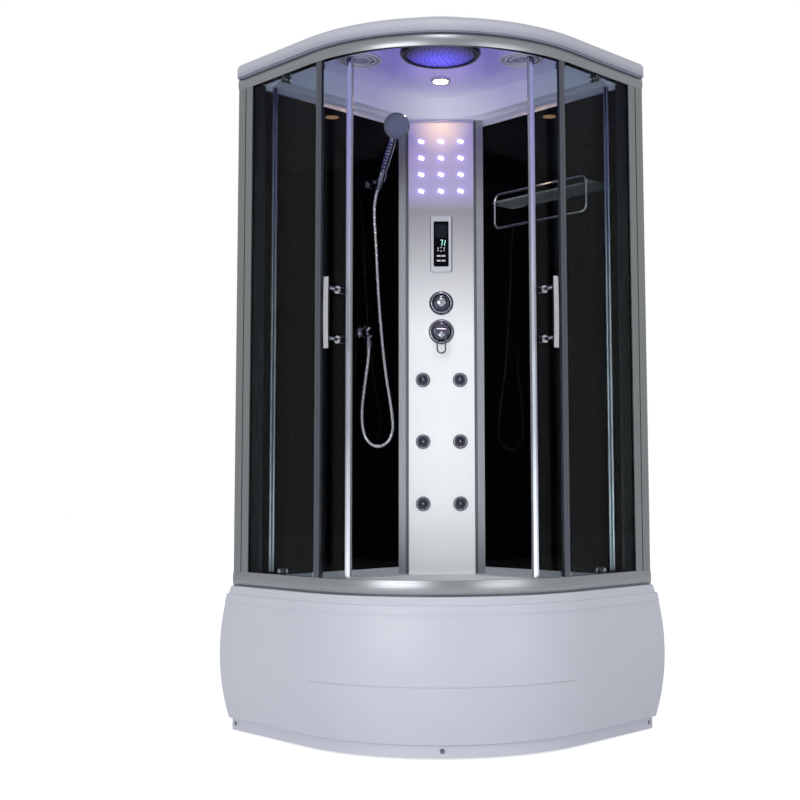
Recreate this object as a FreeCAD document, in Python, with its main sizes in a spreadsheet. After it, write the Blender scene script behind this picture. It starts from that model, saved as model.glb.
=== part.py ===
"""Shower cabin with bathtub: a quadrant tub, black glass walls, curved sliding doors and a roof.

Millimetres, +Z up. The cabin's diagonal lies along Y: the back corner is at +Y, the curved
front faces -Y, and X = 0 is the mirror plane. The origin is on the floor, under the middle.
Left and right are the photographer's. The doors stand open, as far as they go.
"""
import FreeCAD, Part
import Sketcher
import math
import os
from FreeCAD import Placement, Rotation, Vector
from types import SimpleNamespace

# Driving dimensions
SIZES = {
    # Plan and main heights
    "wall_side": 900,
    "side_run": 350,
    "rim_height": 435,
    "bottom_rail_height": 43,
    "door_opening_height": 1508,
    "top_rail_height": 27,
    "roof_lip_height": 43,
    "roof_dome_height": 94,
    "overrun": 2,
    "seat_gap": 0.3,
    # Tub shell
    "rim_thickness": 22,
    "rim_overhang": 12,
    "rim_skirt": 21,
    "rim_corner": 14,
    "deck_width": 68,
    "basin_floor_height": 116,
    "basin_floor_inset": 128,
    "basin_cove_height": 34,
    "basin_cove_width": 24,
    "tub_wall": 6,
    "deck_back_corner": 265,
    "basin_corner": 80,
    # Apron
    "apron_wall": 4,
    "apron_ground_gap": 6,
    "apron_top_proud": 22,
    "apron_flange": 26,
    "apron_bulge": 45,
    "apron_band_height": 25,
    "apron_band_proud": 28,
    "apron_step": 2,
    "apron_foot_proud": 8,
    "plinth_height": 43,
    "plinth_inset": 5,
    "groove_height": 199,
    "groove_radius": 1.8,
    "groove_half_angle": 39,
    "groove_depth": 1.2,
    # Apron screws and the struts that hold them
    "screw_height": 25,
    "screw_end_distance": 15,
    "screw_cap_radius": 7,
    "screw_cap_height": 4,
    "screw_radius": 2.5,
    "screw_length": 16,
    "screw_play": 0.2,
    "strut_width": 30,
    "strut_thickness": 3,
    "strut_foot_height": 12,
    # Steel frame and feet
    "beam_size": 25,
    "beam_wall": 2,
    "beam_inset": 330,
    "beam_start": 95,
    "beam_end_gap": 60,
    "foot_near": 140,
    "foot_far": 760,
    "pad_radius": 23,
    "pad_height": 9,
    "stud_radius": 6,
    "nut_width": 19,
    "nut_height": 10,
    # Waste
    "drain_from_wall": 470,
    "drain_hole_radius": 27,
    "drain_flange_radius": 35,
    "drain_flange_height": 3,
    "drain_neck_radius": 24,
    "drain_pot_radius": 46,
    "drain_pot_height": 52,
    "drain_pot_base": 28,
    "drain_wall": 3,
    "drain_pipe_radius": 20,
    "drain_pipe_height": 54,
    "drain_pipe_wall": 2,
    "drain_sleeve_radius": 22,
    "drain_spigot_length": 50,
    "drain_pipe_end": 40,
    "plug_radius": 30,
    "plug_thickness": 5,
    "plug_stem_radius": 5,
    "plug_stem_length": 40,
    "running_play": 0.05,
    # Rails
    "rail_depth": 44,
    "rail_crown": 3,
    "rail_wall": 3,
    "top_rail_skirt": 11,
    "track_sink": 6,
    "glass_channel_depth": 14,
    "glass_channel_wall": 14,
    "glass_play": 0.3,
    # Fixed glass, posts and edge strips
    "fixed_glass_offset": 5,
    "fixed_glass_thickness": 5,
    "fixed_glass_turn_angle": 5.2,
    "post_along_front": 74,
    "post_line_along": 39,
    "post_line_width": 2.5,
    "post_line_depth": 2.4,
    "post_recess": 1.2,
    "post_along_wall": 52,
    "post_groove": 8,
    "post_front_groove": 12,
    "post_round": 6,
    "post_wall": 3,
    "strip_width": 22,
    "strip_lip": 4,
    "strip_face_offset": 2,
    "strip_crown": 1.5,
    "strip_depth": 11,
    # Back walls
    "wall_back": 24,
    "wall_glass_thickness": 6,
    "wall_strip_height": 25,
    "wall_strip_back": 18,
    "wall_strip_proud": 3,
    "wall_strip_floor": 6,
    # Column in the back corner
    "column_depth": 186,
    "column_half_width": 113,
    "column_thickness": 3,
    "column_return": 28,
    "trim_proud": 4,
    "trim_back": 8,
    "led_radius": 10,
    "led_top_drop": 76,
    "led_row_pitch": 59,
    "led_column_pitch": 69,
    "led_proud": 1.4,
    "led_tail": 5,
    "display_height": 1572,
    "bezel_width": 71,
    "bezel_tall": 196,
    "bezel_proud": 9,
    "bezel_round": 10,
    "display_width": 52,
    "display_tall": 159,
    "display_thickness": 3,
    "display_sink": 2,
    # Diverter and mixer
    "diverter_drop": 109,
    "diverter_rosette_radius": 41.5,
    "mixer_drop": 100,
    "mixer_rosette_radius": 43.5,
    "rosette_edge": 4,
    "rosette_proud": 12,
    "rosette_boss_radius": 26,
    "knob_gap": 0.5,
    "knob_radius": 24,
    "knob_length": 24,
    "knob_edge": 4,
    "knob_flute_radius": 5,
    "knob_flute_count": 6,
    "knob_stem_radius": 5,
    "cap_radius": 30,
    "cap_length": 34,
    "cap_edge": 8,
    "cap_stem_radius": 8,
    "stem_reach": 30,
    "lever_hub_radius": 9,
    "lever_hub_width": 34,
    "lever_slot_play": 0.6,
    "lever_pin_radius": 3,
    "lever_pin_length": 44,
    "lever_wire_radius": 2.6,
    "lever_leg": 65,
    "lever_half_width": 14,
    "valve_gap": 7,
    "valve_depth": 40,
    "valve_width": 80,
    "valve_tall": 50,
    "valve_collar_radius": 20,
    "inlet_spacing": 50,
    "inlet_radius": 10.48,
    "inlet_length": 16,
    "riser_radius": 8,
    # Body jets
    "jet_spread": 64,
    "jet_top_height": 1098,
    "jet_pitch": 212.5,
    "jet_flange_radius": 25,
    "jet_flange_chamfer": 3,
    "jet_flange_thickness": 7,
    "jet_tail_radius": 18,
    "jet_tail_length": 30,
    "jet_ball_radius": 14,
    "jet_ball_sink": 3,
    "jet_ball_play": 0.3,
    "jet_lip": 10,
    "jet_ball_front": 13,
    "jet_ball_back": 9,
    "jet_bore_radius": 2.5,
    # Roof and ceiling
    "roof_overhang": 3,
    "roof_front_overhang": 10,
    "roof_edge_round": 12,
    "roof_edge_flat": 4,
    "roof_wall": 4,
    "roof_corner": 16,
    "dome_foot_inset": 28,
    "dome_top_inset": 240,
    "dome_corner": 60,
    "ceiling_wall": 4,
    "ceiling_flange": 85,
    "ceiling_rise": 62,
    "ceiling_cove": 28,
    "ceiling_back_corner": 210,
    "ceiling_corner": 70,
    "rain_head_forward": 735,
    "rain_head_radius": 124,
    "rain_head_thickness": 14,
    "rain_head_rim": 20,
    "rain_head_sink": 6,
    "rain_head_drop": 25,
    "rain_stem_radius": 18,
    "rain_plate_thickness": 3,
    "lamp_forward": 437,
    "lamp_radius": 24,
    "lamp_bezel_radius": 33,
    "lamp_bezel_thickness": 6,
    "lamp_drop": 8,
    "vent_aside": 254,
    "vent_behind_head": 90,
    "vent_radius": 70,
    "vent_mouth_radius": 44,
    "vent_ring_radius": 30,
    "vent_ring_width": 6,
    "vent_inner_ring_radius": 14,
    "vent_bar": 5,
    "vent_thickness": 6,
    "fan_duct_height": 34,
    "fan_duct_wall": 3,
    "fan_spider": 4,
    "fan_hub_radius": 12,
    "fan_hub_height": 16,
    "fan_tip_gap": 4,
    "fan_blade_thickness": 2,
    "fan_blade_tall": 12,
    "fan_blade_count": 5,
    "fan_shaft_radius": 2,
    "speaker_radius": 42,
    "speaker_depth": 26,
    # Doors
    "hinge_back": 125,
    "door_open_angle": 24.4,
    "door_middle_angle": 22.35,
    "wheel_offset": 30,
    "wheel_radius": 11.7,
    "wheel_thickness": 7,
    "wheel_groove": 1,
    "wheel_side_gap": 0.4,
    "wheel_pin_radius": 3,
    "wheel_lead_angle": 13,
    "wheel_trail_angle": 31.7,
    "hub_cap_radius": 9,
    "hub_cap_thickness": 2.5,
    "hub_collar_radius": 8,
    "hub_bush_radius": 5.8,
    "hub_knob_radius": 12,
    "hub_knob_thickness": 9,
    "hub_hole_radius": 6,
    "door_glass_offset": 36,
    "door_glass_thickness": 5,
    "door_glass_gap": 2,
    "door_glass_lead_angle": 0.9,
    "door_glass_trail_angle": 44.2,
    "lead_gap": 1.3,
    "lead_width": 16.5,
    "lead_bevel_width": 7,
    "lead_bevel_drop": 2.6,
    "lead_proud": 4,
    "lead_back": 5,
    "lead_web": 5,
    "lead_slot_sag": 0.9,
    "lead_end_gap": 4,
    "trail_width": 12,
    "handle_angle": 4.8,
    "handle_height": 1225,
    "handle_length": 204,
    "handle_width": 16,
    "handle_thickness": 8,
    "handle_crown": 2,
    "handle_reach": 62,
    "handle_post_spacing": 144,
    "handle_post_radius": 6,
    "handle_collar_radius": 11,
    "handle_collar_thickness": 7,
    "handle_bush_radius": 4.8,
    "handle_hole_radius": 5,
    "handle_knob_thickness": 10,
    # Hand shower, its holder, outlet and hose
    "holder_along": 380,
    "holder_height": 1775,
    "holder_reach": 65,
    "holder_lean_angle": 25,
    "cup_radius": 16,
    "cup_height": 28,
    "cup_play": 0.3,
    "handle_foot_radius": 10,
    "handle_mid_radius": 12.5,
    "handle_top_length": 140,
    "handle_foot_length": 22,
    "nipple_radius": 6,
    "nipple_length": 14,
    "head_distance": 177,
    "head_radius": 44,
    "head_turn_angle": 33,
    "head_front": 13,
    "head_back": 11,
    "head_rim": 9,
    "nut_radius": 11,
    "nut_end_radius": 8.5,
    "nut_length": 24,
    "pivot_back": 25,
    "pivot_drop": 17,
    "pivot_radius": 8,
    "pivot_barrel_width": 17,
    "pivot_pin_radius": 4,
    "ear_gap": 0.4,
    "ear_thickness": 4,
    "rosette_drop": 24,
    "bracket_rosette_radius": 20,
    "bracket_rosette_thickness": 6,
    "outlet_along": 403,
    "outlet_height": 1247,
    "outlet_reach": 28,
    "outlet_rosette_radius": 26,
    "outlet_body_radius": 17,
    "outlet_body_length": 40,
    "outlet_edge": 5,
    "outlet_nipple_radius": 7.5,
    "outlet_nipple_drop": 30,
    "hose_radius": 6,
    "hose_first_run": 35,
    # Shelf on the right wall
    "shelf_start": 376,
    "shelf_end": 805,
    "shelf_height": 1672,
    "shelf_thickness": 6,
    "shelf_depth": 112,
    "shelf_wall_gap": 3,
    "shelf_round": 18,
    "loop_start": 400,
    "loop_end": 785,
    "loop_below": 88,
    "loop_above": 25,
    "loop_round": 22,
    "loop_wire_radius": 3.5,
    "clip_width": 12,
    "clip_lip": 5,
    "clip_reach": 7,
    "clamp_width": 30,
    "clamp_depth": 24,
    "clamp_inset": 90,
}

# The hose's route on the left wall: distance along the wall from the corner, out of the wall, and height
HOSE_ROUTE = [
    (378, 26, 1645),
    (370, 28, 1535),
    (360, 27, 1385),
    (345, 28, 1235),
    (326, 27, 1110),
    (308, 28, 1030),
    (296, 27, 973),
    (292, 28, 930),
    (305, 28, 890),
    (340, 27, 866),
    (382, 28, 866),
    (416, 27, 891),
    (431, 28, 930),
    (433, 27, 985),
    (420, 28, 1070),
    (407, 27, 1140),
    (403, 28, 1175),
]

doc = FreeCAD.newDocument("shower_cabin")
sheet = doc.addObject("Spreadsheet::Sheet", "dims")
for row, (name, number) in enumerate(SIZES.items(), 1):
    sheet.set("A%d" % row, name)
    sheet.set("B%d" % row, str(number))
    sheet.setAlias("B%d" % row, name)
doc.recompute()


# A size is a number together with the sheet's formula for it
class Size:
    def __init__(self, number, formula):
        self.number = number
        self.formula = formula

    def __float__(self):
        return float(self.number)

    def __add__(self, other):
        return joined(self, "+", other, float(self) + float(other))

    def __radd__(self, other):
        return joined(other, "+", self, float(self) + float(other))

    def __sub__(self, other):
        return joined(self, "-", other, float(self) - float(other))

    def __rsub__(self, other):
        return joined(other, "-", self, float(other) - float(self))

    def __mul__(self, other):
        return joined(self, "*", other, float(self) * float(other))

    def __rmul__(self, other):
        return joined(other, "*", self, float(self) * float(other))

    def __truediv__(self, other):
        return joined(self, "/", other, float(self) / float(other))

    def __neg__(self):
        return joined(0, "-", self, -float(self))


def text_of(size):
    return size.formula if isinstance(size, Size) else repr(float(size))


def joined(first, sign, second, number):
    return Size(number, "(%s %s %s)" % (text_of(first), sign, text_of(second)))


def sine(angle):
    return Size(math.sin(math.radians(float(angle))), "sin(%s)" % text_of(angle))


def cosine(angle):
    return Size(math.cos(math.radians(float(angle))), "cos(%s)" % text_of(angle))


def root(size):
    return Size(math.sqrt(float(size)), "sqrt(%s)" % text_of(size))


def bind(thing, field, size):
    """Tie one property of an object to its size."""
    if isinstance(size, Size):
        thing.setExpression(field, size.formula)
    elif size:
        thing.setExpression(field, repr(float(size)))


d = SimpleNamespace(**{name: Size(number, "dims." + name) for name, number in SIZES.items()})

# Heights and places that several pieces share
arc_radius = d.wall_side - d.side_run
slant = cosine(45)
plinth_radius = arc_radius - d.plinth_inset
arc_y = (arc_radius + d.apron_bulge - d.side_run / slant) / 2
corner_y = arc_y + d.side_run / slant
column_y = corner_y - d.column_depth
wall_face = d.wall_back + d.wall_glass_thickness
glass_foot = d.rim_height + d.bottom_rail_height
glass_head = glass_foot + d.door_opening_height
roof_foot = glass_head + d.top_rail_height
roof_lip_top = roof_foot + d.roof_lip_height
ceiling_height = roof_foot + d.ceiling_rise
track_height = glass_foot - d.track_sink
rail_inner = d.wall_side - d.rail_depth
diverter_height = d.display_height - d.bezel_tall / 2 - d.diverter_drop
mixer_height = diverter_height - d.mixer_drop
led_top_height = roof_foot - d.led_top_drop
vent_forward = d.rain_head_forward - d.vent_behind_head


# Sketches, features and placements
def arc_between(start, end, radius):
    """The short arc between two points: anticlockwise for a positive radius."""
    middle = (start + end) * 0.5
    chord = end - start
    side = Vector(-chord.y, chord.x, 0)
    side.normalize()
    rise = math.sqrt(max(radius * radius - chord.Length * chord.Length / 4, 0))
    centre = middle + side * math.copysign(rise, radius)
    first, last = (start, end) if radius > 0 else (end, start)
    begin = math.atan2(first.y - centre.y, first.x - centre.x)
    finish = math.atan2(last.y - centre.y, last.x - centre.x)
    if finish < begin:
        finish += 2 * math.pi
    return Part.ArcOfCircle(Part.Circle(centre, Vector(0, 0, 1), abs(radius)), begin, finish)


def pin_point(drawing, edge, end, corner):
    """Fix an edge's end at a place given by its sizes."""
    for kind, axis, size in (("DistanceX", -2, corner[0]), ("DistanceY", -1, corner[1])):
        if not isinstance(size, Size) and size == 0:
            drawing.addConstraint(Sketcher.Constraint("PointOnObject", edge, end, axis))
            continue
        index = drawing.addConstraint(Sketcher.Constraint(kind, -1, 1, edge, end, float(size)))
        drawing.setExpression("Constraints[%d]" % index, text_of(size))


def add_circle(drawing, x, y, radius):
    centre = Vector(float(x), float(y), 0)
    edge = drawing.addGeometry(Part.Circle(centre, Vector(0, 0, 1), float(radius)), False)
    pin_point(drawing, edge, 3, (x, y))
    index = drawing.addConstraint(Sketcher.Constraint("Radius", edge, float(radius)))
    drawing.setExpression("Constraints[%d]" % index, text_of(radius))


def add_outline(drawing, corners, closed):
    """Edges from corner to corner: a corner's third value is the radius of the arc that leaves it."""
    edges = []
    count = len(corners) if closed else len(corners) - 1
    for number in range(count):
        corner = corners[number]
        follower = corners[(number + 1) % len(corners)]
        start = Vector(float(corner[0]), float(corner[1]), 0)
        end = Vector(float(follower[0]), float(follower[1]), 0)
        if len(corner) == 3:
            radius = corner[2]
            edge = drawing.addGeometry(arc_between(start, end, float(radius)), False)
            ends = (1, 2) if float(radius) > 0 else (2, 1)
            size = radius if float(radius) > 0 else -radius
            index = drawing.addConstraint(Sketcher.Constraint("Radius", edge, float(size)))
            drawing.setExpression("Constraints[%d]" % index, text_of(size))
        else:
            edge = drawing.addGeometry(Part.LineSegment(start, end), False)
            ends = (1, 2)
        edges.append((edge, ends))
        pin_point(drawing, edge, ends[0], corner)
    for number, (edge, ends) in enumerate(edges):
        if number + 1 < len(edges) or closed:
            follower, follower_ends = edges[(number + 1) % len(edges)]
            joint = Sketcher.Constraint("Coincident", edge, ends[1], follower, follower_ends[0])
            drawing.addConstraint(joint)
        else:
            pin_point(drawing, edge, ends[1], corners[-1])


def sketch(body, plane, loops, level=0, closed=True):
    """A sketch on one of the body's origin planes, level along the plane's positive axis."""
    drawing = body.newObject("Sketcher::SketchObject", "outline")
    support = [item for item in body.Origin.OriginFeatures if item.Role == plane + "_Plane"][0]
    drawing.AttachmentSupport = [(support, "")]
    drawing.MapMode = "FlatFace"
    bind(drawing, "AttachmentOffset.Base.z", -level if plane == "XZ" and level else level)
    for loop in loops:
        if isinstance(loop, list):
            add_outline(drawing, loop, closed)
        else:
            add_circle(drawing, *loop)
    return drawing


def extrude(body, plane, loops, start, length):
    """A pad from start, towards the positive axis."""
    feature = body.newObject("PartDesign::Pad", "pad")
    feature.Profile = sketch(body, plane, loops, start)
    bind(feature, "Length", length)
    feature.Reversed = plane == "XZ"
    return feature


def cut(body, plane, loops, start, length):
    """A pocket from start, towards the positive axis."""
    feature = body.newObject("PartDesign::Pocket", "pocket")
    feature.Profile = sketch(body, plane, loops, start)
    bind(feature, "Length", length)
    feature.Reversed = plane != "XZ"
    return feature


def revolve(body, plane, corners, level=0, groove=False):
    """A turned form about the sketch's vertical axis."""
    kind = "PartDesign::Groove" if groove else "PartDesign::Revolution"
    drawing = sketch(body, plane, [corners], level)
    feature = body.newObject(kind, "turned")
    feature.Profile = drawing
    feature.ReferenceAxis = (drawing, ["V_Axis"])
    feature.Angle = 360
    return feature


def sweep(body, profile, path):
    feature = body.newObject("PartDesign::AdditivePipe", "pipe")
    feature.Profile = profile
    feature.Spine = path
    return feature


def loft(body, sections, kind="Additive"):
    feature = body.newObject("PartDesign::%sLoft" % kind, "loft")
    feature.Profile = sections[0]
    feature.Sections = sections[1:]
    feature.Ruled = True
    return feature


def new_body(label):
    return doc.addObject("PartDesign::Body", label)


def place(thing, x=0, y=0, z=0, angle=0):
    thing.Placement = Placement(Vector(0, 0, 0), Rotation(Vector(0, 0, 1), 1))
    for field, size in (("Base.x", x), ("Base.y", y), ("Base.z", z), ("Rotation.Angle", angle)):
        thing.setExpression("Placement." + field, text_of(size))
    return thing


def square_point(along_left, along_right):
    """A place on the square plan, from its distances along the left and the right wall."""
    return (along_right - along_left) * slant, corner_y - (along_left + along_right) * slant


def in_square(thing):
    """X along the left wall and Y along the right wall, from the back corner."""
    return place(thing, 0, corner_y, 0, -135)


def on_arc(thing, angle=0, height=0):
    """Drawn about the upright axis of the curved front, and turned to the left by an angle."""
    return place(thing, 0, arc_y, height, 0 - angle)


def on_column(thing, x=0, height=0, sink=0):
    return place(thing, x, column_y + sink, height, 0)


def on_left_wall(thing, along, height):
    """X along the left wall away from the corner, Y out of the wall's face."""
    x = (wall_face - along) * slant
    return place(thing, x, corner_y - (wall_face + along) * slant, height, -135)


def on_right_wall(thing):
    """X along the right wall towards the corner, Y out of the wall's face."""
    return place(thing, -wall_face * slant, corner_y - wall_face * slant, 0, 135)


hinge_x = d.hinge_back * sine(d.door_middle_angle)
hinge_y = d.hinge_back * cosine(d.door_middle_angle)
swing_cos = cosine(d.door_open_angle)
swing_sin = sine(d.door_open_angle)
door_x = hinge_x - hinge_x * swing_cos - hinge_y * swing_sin
door_y = arc_y + hinge_y + hinge_x * swing_sin - hinge_y * swing_cos


def on_door(thing, angle=0, height=0):
    """Drawn about the curved front's axis as when shut, then turned back with the open left door."""
    return place(thing, door_x, door_y, height, 0 - (d.door_open_angle + angle))


def combine(kind, label, base, tool):
    thing = doc.addObject("Part::" + kind, label)
    thing.Base = base
    thing.Tool = tool
    return thing


def group(label, things):
    thing = doc.addObject("Part::Compound", label)
    thing.Links = things
    return thing


def mirrored(label, source):
    thing = doc.addObject("Part::Mirroring", label)
    thing.Source = source
    thing.Base = Vector(0, 0, 0)
    thing.Normal = Vector(1, 0, 0)
    return thing


def both_sides(label, sources):
    """The left pieces and their mirror images, as one group."""
    return group(label, sources + [mirrored(item.Name + "_mirrored", item) for item in sources])


def rectangle(left, low, right, high):
    return [(left, low), (right, low), (right, high), (left, high)]


def centred(width, tall, round_radius):
    """A rectangle about the axes, with rounded corners."""
    x = width / 2
    y = tall / 2
    inner_x = x - round_radius
    inner_y = y - round_radius
    return [(-inner_x, -y), (inner_x, -y, round_radius), (x, -inner_y), (x, inner_y, round_radius),
            (inner_x, y), (-inner_x, y, round_radius), (-x, inner_y), (-x, -inner_y, round_radius)]


def crown_radius(chord, rise):
    return (chord * chord / 4 + rise * rise) / (rise * 2)


def quadrant(wall_inset, front_inset, back_corner, corner):
    """The plan of the cabin, drawn in by an inset, with rounded corners at its walls."""
    near = wall_inset
    far = d.wall_side - front_inset
    run = d.side_run
    return [(near + back_corner, near), (far - corner, near, corner), (far, near + corner),
            (far, run, far - run),
            (run, far), (near + corner, far, corner), (near, far - corner),
            (near, near + back_corner, back_corner)]


def front_path(body):
    """Along the front, from the left wall's end round the arc to the right wall's end."""
    side = d.wall_side
    corners = [(side, 0), (side, d.side_run, arc_radius), (d.side_run, side), (0, side)]
    return sketch(body, "XY", [corners], 0, closed=False)


def arc_point(radius, angle):
    """A place on the front, at an angle to the left of the middle."""
    return -(radius * sine(angle)), -(radius * cosine(angle))


def sector(outer, inner, start_angle, end_angle):
    outer_end = arc_point(outer, end_angle)
    inner_start = arc_point(inner, start_angle)
    return [outer_end + (outer,), arc_point(outer, start_angle), inner_start + (-inner,),
            arc_point(inner, end_angle)]


nodes = []


def node(thing):
    nodes.append(thing)
    return thing


# Tub, apron and what carries them
def make_tub():
    body = new_body("tub")
    underside = d.rim_height - d.rim_thickness
    rim_foot = sketch(body, "XY", [quadrant(0, -d.rim_skirt, d.rim_corner, d.rim_corner)], underside)
    rim_top = sketch(body, "XY", [quadrant(0, -d.rim_overhang, d.rim_corner, d.rim_corner)], d.rim_height)
    loft(body, [rim_foot, rim_top])

    def section(extra, height):
        inset = d.deck_width + extra
        return sketch(body, "XY", [quadrant(inset, inset, d.deck_back_corner, d.basin_corner)], height)

    floor_inset = d.basin_floor_inset - d.deck_width
    cove_inset = floor_inset - d.basin_cove_width
    floor = d.basin_floor_height
    cove = floor + d.basin_cove_height
    loft(body, [section(0, underside), section(cove_inset, cove), section(floor_inset, floor - d.tub_wall)])
    wall = d.tub_wall
    inner = [section(wall, d.rim_height), section(cove_inset + wall, cove),
             section(floor_inset + wall, floor)]
    loft(body, inner, "Subtractive")
    drain = (d.drain_from_wall, d.drain_from_wall, d.drain_hole_radius)
    cut(body, "XY", [drain], floor - d.tub_wall - d.overrun, d.tub_wall + d.overrun * 2)
    return node(in_square(body))


def apron_section():
    """The bowed skirt in section: a band under the rim, a long bow and an upright plinth."""
    side = d.wall_side
    top = d.rim_height - d.rim_thickness - d.seat_gap
    band = d.rim_height - d.rim_thickness - d.apron_band_height
    foot = d.plinth_height
    wall = d.apron_wall
    plinth = side - d.plinth_inset
    high_x = side + d.apron_band_proud - d.apron_step
    low_x = side + d.apron_foot_proud
    lip = side + d.apron_top_proud
    chord_x = high_x - low_x
    chord = root((band - foot) * (band - foot) + chord_x * chord_x)
    bow = crown_radius(chord, d.apron_bulge - (d.apron_band_proud + d.apron_foot_proud) / 2)
    ground = d.apron_ground_gap
    return [(lip, top), (lip - d.apron_flange, top), (lip - d.apron_flange, top - wall),
            (lip - wall, top - wall),
            (high_x - wall, band, -bow), (low_x - wall, foot + wall), (plinth - wall, foot + wall),
            (plinth - wall, ground), (plinth, ground),
            (plinth, foot), (low_x, foot, bow), (high_x, band), (high_x + d.apron_step, band)]


def make_apron():
    body = new_body("apron_skirt")
    sweep(body, sketch(body, "XZ", [apron_section()]), front_path(body))
    in_square(body)
    groove = doc.addObject("Part::Torus", "apron_groove")
    bind(groove, "Radius1", groove_centre_radius())
    bind(groove, "Radius2", d.groove_radius)
    bind(groove, "Angle3", d.groove_half_angle * 2)
    place(groove, 0, arc_y, d.groove_height, -90 - d.groove_half_angle)
    holes = [place_screw(rod("screw_hole", d.screw_radius + d.screw_play, d.apron_wall * 2), where,
                         -d.apron_wall / 2)
             for where in ("left", "middle", "right")]
    cutter = group("apron_cutters", [groove] + holes)
    return node(combine("Cut", "tub_apron", body, cutter))


def groove_centre_radius():
    """The bow's own radius at the groove, so that the groove bites to its depth."""
    top = d.rim_height - d.rim_thickness - d.apron_band_height
    foot = d.plinth_height
    high = d.apron_band_proud - d.apron_step
    low = d.apron_foot_proud
    chord = root((top - foot) * (top - foot) + (high - low) * (high - low))
    bow = crown_radius(chord, d.apron_bulge - (d.apron_band_proud + low) / 2)
    half = chord / 2
    reach = root(bow * bow - half * half)
    lean_x = (top - foot) / chord
    lean_z = (high - low) / chord
    centre_x = (high + low) / 2 - reach * lean_x
    centre_z = (top + foot) / 2 + reach * lean_z
    rise = d.groove_height - centre_z
    return arc_radius + centre_x + root(bow * bow - rise * rise) + d.groove_radius - d.groove_depth


def rod(label, radius, length):
    """A round bar from the origin along +Y."""
    body = new_body(label)
    extrude(body, "XZ", [(0, 0, radius)], 0, length)
    return body


def place_screw(thing, where, sink=0):
    """On the plinth's face: -Y points out of the cabin."""
    if where == "middle":
        return place(thing, 0, arc_y - plinth_radius + sink, d.screw_height, 0)
    x, y = square_point(d.wall_side - d.plinth_inset - sink, d.screw_end_distance)
    if where == "left":
        return place(thing, x, y, d.screw_height, -45)
    return place(thing, -x, y, d.screw_height, 45)


def make_screws():
    screws = []
    for where in ("left", "middle", "right"):
        body = new_body("screw_" + where)
        cap = d.screw_cap_radius
        high = d.screw_cap_height
        outline = [(0, -high), (cap / 2, -high), (cap, -high / 2), (cap, -d.seat_gap),
                   (d.screw_radius, -d.seat_gap),
                   (d.screw_radius, d.screw_length), (0, d.screw_length)]
        revolve(body, "XY", outline)
        screws.append(place_screw(body, where))
    return node(group("apron_screws", screws))


def square_tube(body, plane, across, low, start, length):
    outer = rectangle(across - d.beam_size / 2, low, across + d.beam_size / 2, low + d.beam_size)
    wall = d.beam_wall
    inner = rectangle(across - d.beam_size / 2 + wall, low + wall,
                      across + d.beam_size / 2 - wall, low + d.beam_size - wall)
    extrude(body, plane, [outer, inner], start, length)


def make_frame():
    """Two square tubes under the basin, crossed and welded, two spacers, and three struts for the apron."""
    upper = d.basin_floor_height - d.tub_wall - d.beam_size
    lower = upper - d.beam_size
    length = d.wall_side - d.beam_end_gap - d.beam_start
    pieces = []
    left = new_body("left_beam")
    square_tube(left, "YZ", d.beam_inset, upper, d.beam_start, length)
    right = new_body("right_beam")
    square_tube(right, "XZ", d.beam_inset, lower, d.beam_start, length)
    pieces += [in_square(left), in_square(right)]
    for number, along in enumerate((d.drain_from_wall, d.foot_far - d.nut_width)):
        spacer = new_body("beam_spacer_%d" % number)
        reach = d.beam_size / 2
        plan = rectangle(d.beam_inset - reach, along - reach, d.beam_inset + reach, along + reach)
        extrude(spacer, "XY", [plan], upper, d.beam_size)
        pieces.append(in_square(spacer))
    top = d.rim_height - d.rim_thickness - d.screw_height
    reach = d.strut_width / 2
    for where in ("left", "middle", "right"):
        strut = new_body("apron_strut_" + where)
        inner = d.apron_wall + d.seat_gap * 2
        low = d.strut_foot_height - d.screw_height
        flat = [(inner, low), (inner + d.strut_thickness, low),
                (inner + d.strut_thickness, top - d.strut_thickness),
                (inner + d.strut_width, top - d.strut_thickness), (inner + d.strut_width, top), (inner, top)]
        extrude(strut, "YZ", [flat], -reach, d.strut_width)
        hole = (0, 0, d.screw_radius + d.screw_play)
        cut(strut, "XZ", [hole], inner - d.overrun, d.strut_thickness + d.overrun * 2)
        pieces.append(place_screw(strut, where))
    return node(group("tub_frame", pieces))


def hexagon(width):
    """A nut's outline, from its width across flats."""
    corner = width / 2 / cosine(30)
    return [(corner * cosine(angle), corner * sine(angle)) for angle in range(15, 375, 60)]


def make_feet():
    upper = d.basin_floor_height - d.tub_wall - d.beam_size
    lower = upper - d.beam_size
    places = [(d.foot_near, d.beam_inset, upper), (d.foot_far, d.beam_inset, upper),
              (d.beam_inset, d.foot_near, lower), (d.beam_inset, d.foot_far, lower)]
    pieces = []
    for number, (along_left, along_right, top) in enumerate(places):
        x, y = square_point(along_left, along_right)
        pad = new_body("foot_pad_%d" % number)
        high = d.pad_height
        revolve(pad, "XZ", [(0, 0), (d.pad_radius, 0), (d.pad_radius, high / 2), (d.pad_radius / 2, high),
                            (0, high)])
        stud = new_body("foot_stud_%d" % number)
        extrude(stud, "XY", [(0, 0, d.stud_radius)], high, top - high - d.seat_gap)
        nut = new_body("foot_nut_%d" % number)
        bore = (0, 0, d.stud_radius + d.running_play)
        extrude(nut, "XY", [hexagon(d.nut_width), bore], top - d.nut_height, d.nut_height)
        pieces += [place(item, x, y, 0, 0) for item in (pad, stud, nut)]
    return node(group("levelling_feet", pieces))


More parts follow.
